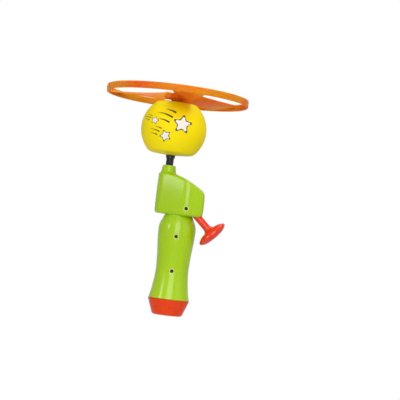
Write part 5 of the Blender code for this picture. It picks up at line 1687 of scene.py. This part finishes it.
def add_lamp(name, place, width, height, power):
    """A soft rectangular lamp aimed at the toy's middle."""
    light = bpy.data.lights.new(name, "AREA")
    light.shape = "RECTANGLE"
    light.size = width
    light.size_y = height
    light.energy = power
    lamp = add_object(name, light)
    lamp.location = place
    lamp.rotation_euler = (LAMP_TARGET - lamp.location).to_track_quat("-Z", "Y").to_euler()


def make_camera():
    """Camera at the photograph's angle, rolled so that the toy leans as it does there."""
    data = bpy.data.cameras.new("photo_camera")
    camera = add_object("photo_camera", data)
    sight = CAMERA_TARGET - CAMERA_PLACE
    data.sensor_width = SENSOR_WIDTH
    data.lens = SENSOR_WIDTH * sight.length / FRAME_WIDTH
    camera.location = CAMERA_PLACE
    level = sight.to_track_quat("-Z", "Y").to_matrix()
    camera.rotation_euler = (level @ Matrix.Rotation(CAMERA_ROLL, 3, "Z")).to_euler()
    bpy.context.scene.camera = camera


def seen_rays(tree):
    """1 for camera, reflected and transmitted rays, 0 for plain light."""
    path = tree.nodes.new("ShaderNodeLightPath").outputs
    seen = maths(tree, "MAXIMUM", path["Is Camera Ray"], path["Is Glossy Ray"])
    return maths(tree, "MAXIMUM", seen, path["Is Transmission Ray"])


def make_world():
    """White surroundings for the eye and for reflections, with a softer level as light."""
    world = bpy.data.worlds.new("studio")
    bpy.context.scene.world = world
    world.use_nodes = True
    tree = world.node_tree
    strength = spread(tree, seen_rays(tree), WORLD_LIGHT, 1.0, 0.0, 1.0)
    fill(tree, tree.nodes["Background"], Color=WHITE, Strength=strength)


def make_floor():
    """Plain pale floor below the pulled handle, with the toy's soft shadow, that fades into the white."""
    material, tree, shader, place = new_shader("pale_floor")
    tint = spread(tree, noise(tree, place, 3.0), 0.99, 1.0)
    seen = seen_rays(tree)
    lift = spread(tree, seen, 0.0, FLOOR_LIFT, 0.0, 1.0)
    fill(tree, shader, Base_Color=shaded(tree, FLOOR_GREY, tint), Roughness=1.0, Specular_IOR_Level=0.0)
    fill(tree, shader, Emission_Color=WHITE, Emission_Strength=lift)
    far = add_node(tree, "ShaderNodeEmission", Strength=spread(tree, seen, WORLD_LIGHT, 1.0, 0.0, 1.0))
    distance = axis_distance(tree, place, (1.0, 1.0, 0.0), (0.0, 0.0, 0.0))
    fade = add_node(tree, "ShaderNodeMixShader", Fac=spread(tree, distance, 0.0, 1.0, *FLOOR_FADE))
    tree.links.new(shader.outputs["BSDF"], fade.inputs[1])
    tree.links.new(far.outputs["Emission"], fade.inputs[2])
    tree.links.new(fade.outputs["Shader"], tree.nodes["Material Output"].inputs["Surface"])
    bm = bmesh.new()
    bmesh.ops.create_grid(bm, x_segments=2, y_segments=2, size=FLOOR_REACH)
    bmesh.ops.translate(bm, verts=bm.verts, vec=(0.0, 0.0, -FLOOR_DROP))
    place_piece("floor", bm, material)


class LAUNCHER_OT_stage(bpy.types.Operator):
    """Camera, lamps, surroundings and floor"""

    bl_idname = "launcher.stage"
    bl_label = "Stage"

    def execute(self, context):
        context.scene.view_settings.view_transform = "Standard"
        make_camera()
        make_world()
        make_floor()
        for name, place, width, height, power in LAMPS:
            add_lamp(name, place, width, height, power)
        return {"FINISHED"}


class LAUNCHER_OT_shells(bpy.types.Operator):
    """Front and rear halves of case, neck and grip"""

    bl_idname = "launcher.shells"
    bl_label = "Shells"

    def execute(self, context):
        make_shells()
        return {"FINISHED"}


class LAUNCHER_OT_base_cap(bpy.types.Operator):
    """Flared cap under the grip"""

    bl_idname = "launcher.base_cap"
    bl_label = "Base cap"

    def execute(self, context):
        make_base_cap()
        return {"FINISHED"}


class LAUNCHER_OT_screws(bpy.types.Operator):
    """Screws that close the shells"""

    bl_idname = "launcher.screws"
    bl_label = "Screws"

    def execute(self, context):
        make_screws()
        return {"FINISHED"}


class LAUNCHER_OT_spindle(bpy.types.Operator):
    """Drive spindle, and the sleeve that it drives"""

    bl_idname = "launcher.spindle"
    bl_label = "Spindle and sleeve"

    def execute(self, context):
        make_spindle()
        make_sleeve()
        return {"FINISHED"}


class LAUNCHER_OT_ball(bpy.types.Operator):
    """Soft ball head and its print"""

    bl_idname = "launcher.ball"
    bl_label = "Ball head"

    def execute(self, context):
        make_ball()
        make_print()
        return {"FINISHED"}


class LAUNCHER_OT_propeller(bpy.types.Operator):
    """Propeller moulding and the cap on its hub"""

    bl_idname = "launcher.propeller"
    bl_label = "Propeller"

    def execute(self, context):
        make_propeller()
        make_hub_cap()
        return {"FINISHED"}


class LAUNCHER_OT_pull_handle(bpy.types.Operator):
    """Pull handle and the plug over its knot"""

    bl_idname = "launcher.pull_handle"
    bl_label = "Pull handle"

    def execute(self, context):
        make_pull_handle()
        return {"FINISHED"}


class LAUNCHER_OT_cord(bpy.types.Operator):
    """Cord turns on the drum, cord run and knot"""

    bl_idname = "launcher.cord"
    bl_label = "Cord"

    def execute(self, context):
        make_cord()
        return {"FINISHED"}


class LAUNCHER_OT_return_spring(bpy.types.Operator):
    """Spiral spring inside the drum"""

    bl_idname = "launcher.return_spring"
    bl_label = "Return spring"

    def execute(self, context):
        make_return_spring()
        return {"FINISHED"}


class LAUNCHER_OT_inner_works(bpy.types.Operator):
    """Finishes of the gears, bushes and metal inside"""

    bl_idname = "launcher.inner_works"
    bl_label = "Inner works"

    def execute(self, context):
        make_inner_works()
        return {"FINISHED"}


OPERATORS = (
    LAUNCHER_OT_stage,
    LAUNCHER_OT_shells,
    LAUNCHER_OT_base_cap,
    LAUNCHER_OT_screws,
    LAUNCHER_OT_spindle,
    LAUNCHER_OT_ball,
    LAUNCHER_OT_propeller,
    LAUNCHER_OT_pull_handle,
    LAUNCHER_OT_cord,
    LAUNCHER_OT_return_spring,
    LAUNCHER_OT_inner_works,
)


class LAUNCHER_PT_pieces(bpy.types.Panel):
    """Sidebar panel that lists the toy's pieces, sizes and colours"""

    bl_label = "Propeller Launcher"
    bl_idname = "LAUNCHER_PT_pieces"
    bl_space_type = "VIEW_3D"
    bl_region_type = "UI"
    bl_category = "Launcher"

    def draw(self, context):
        layout = self.layout
        for operator in OPERATORS:
            layout.operator(operator.bl_idname)
        for group in (context.scene.launcher_sizes, context.scene.launcher_colours):
            column = layout.column()
            for name in group.__annotations__:
                column.prop(group, name)


CLASSES = (LauncherColours, LauncherSizes, *OPERATORS, LAUNCHER_PT_pieces)


def register():
    """Add the classes and the scene's sizes and colours."""
    for cls in CLASSES:
        bpy.utils.register_class(cls)
    bpy.types.Scene.launcher_colours = PointerProperty(type=LauncherColours)
    bpy.types.Scene.launcher_sizes = PointerProperty(type=LauncherSizes)


def unregister():
    """Take away what register added."""
    del bpy.types.Scene.launcher_sizes
    del bpy.types.Scene.launcher_colours
    for cls in reversed(CLASSES):
        bpy.utils.unregister_class(cls)


def main():
    register()
    bpy.ops.launcher.stage()
    bpy.ops.launcher.shells()
    bpy.ops.launcher.base_cap()
    bpy.ops.launcher.screws()
    bpy.ops.launcher.spindle()
    bpy.ops.launcher.ball()
    bpy.ops.launcher.propeller()
    bpy.ops.launcher.pull_handle()
    bpy.ops.launcher.cord()
    bpy.ops.launcher.return_spring()
    bpy.ops.launcher.inner_works()


if __name__ == "__main__":
    main()
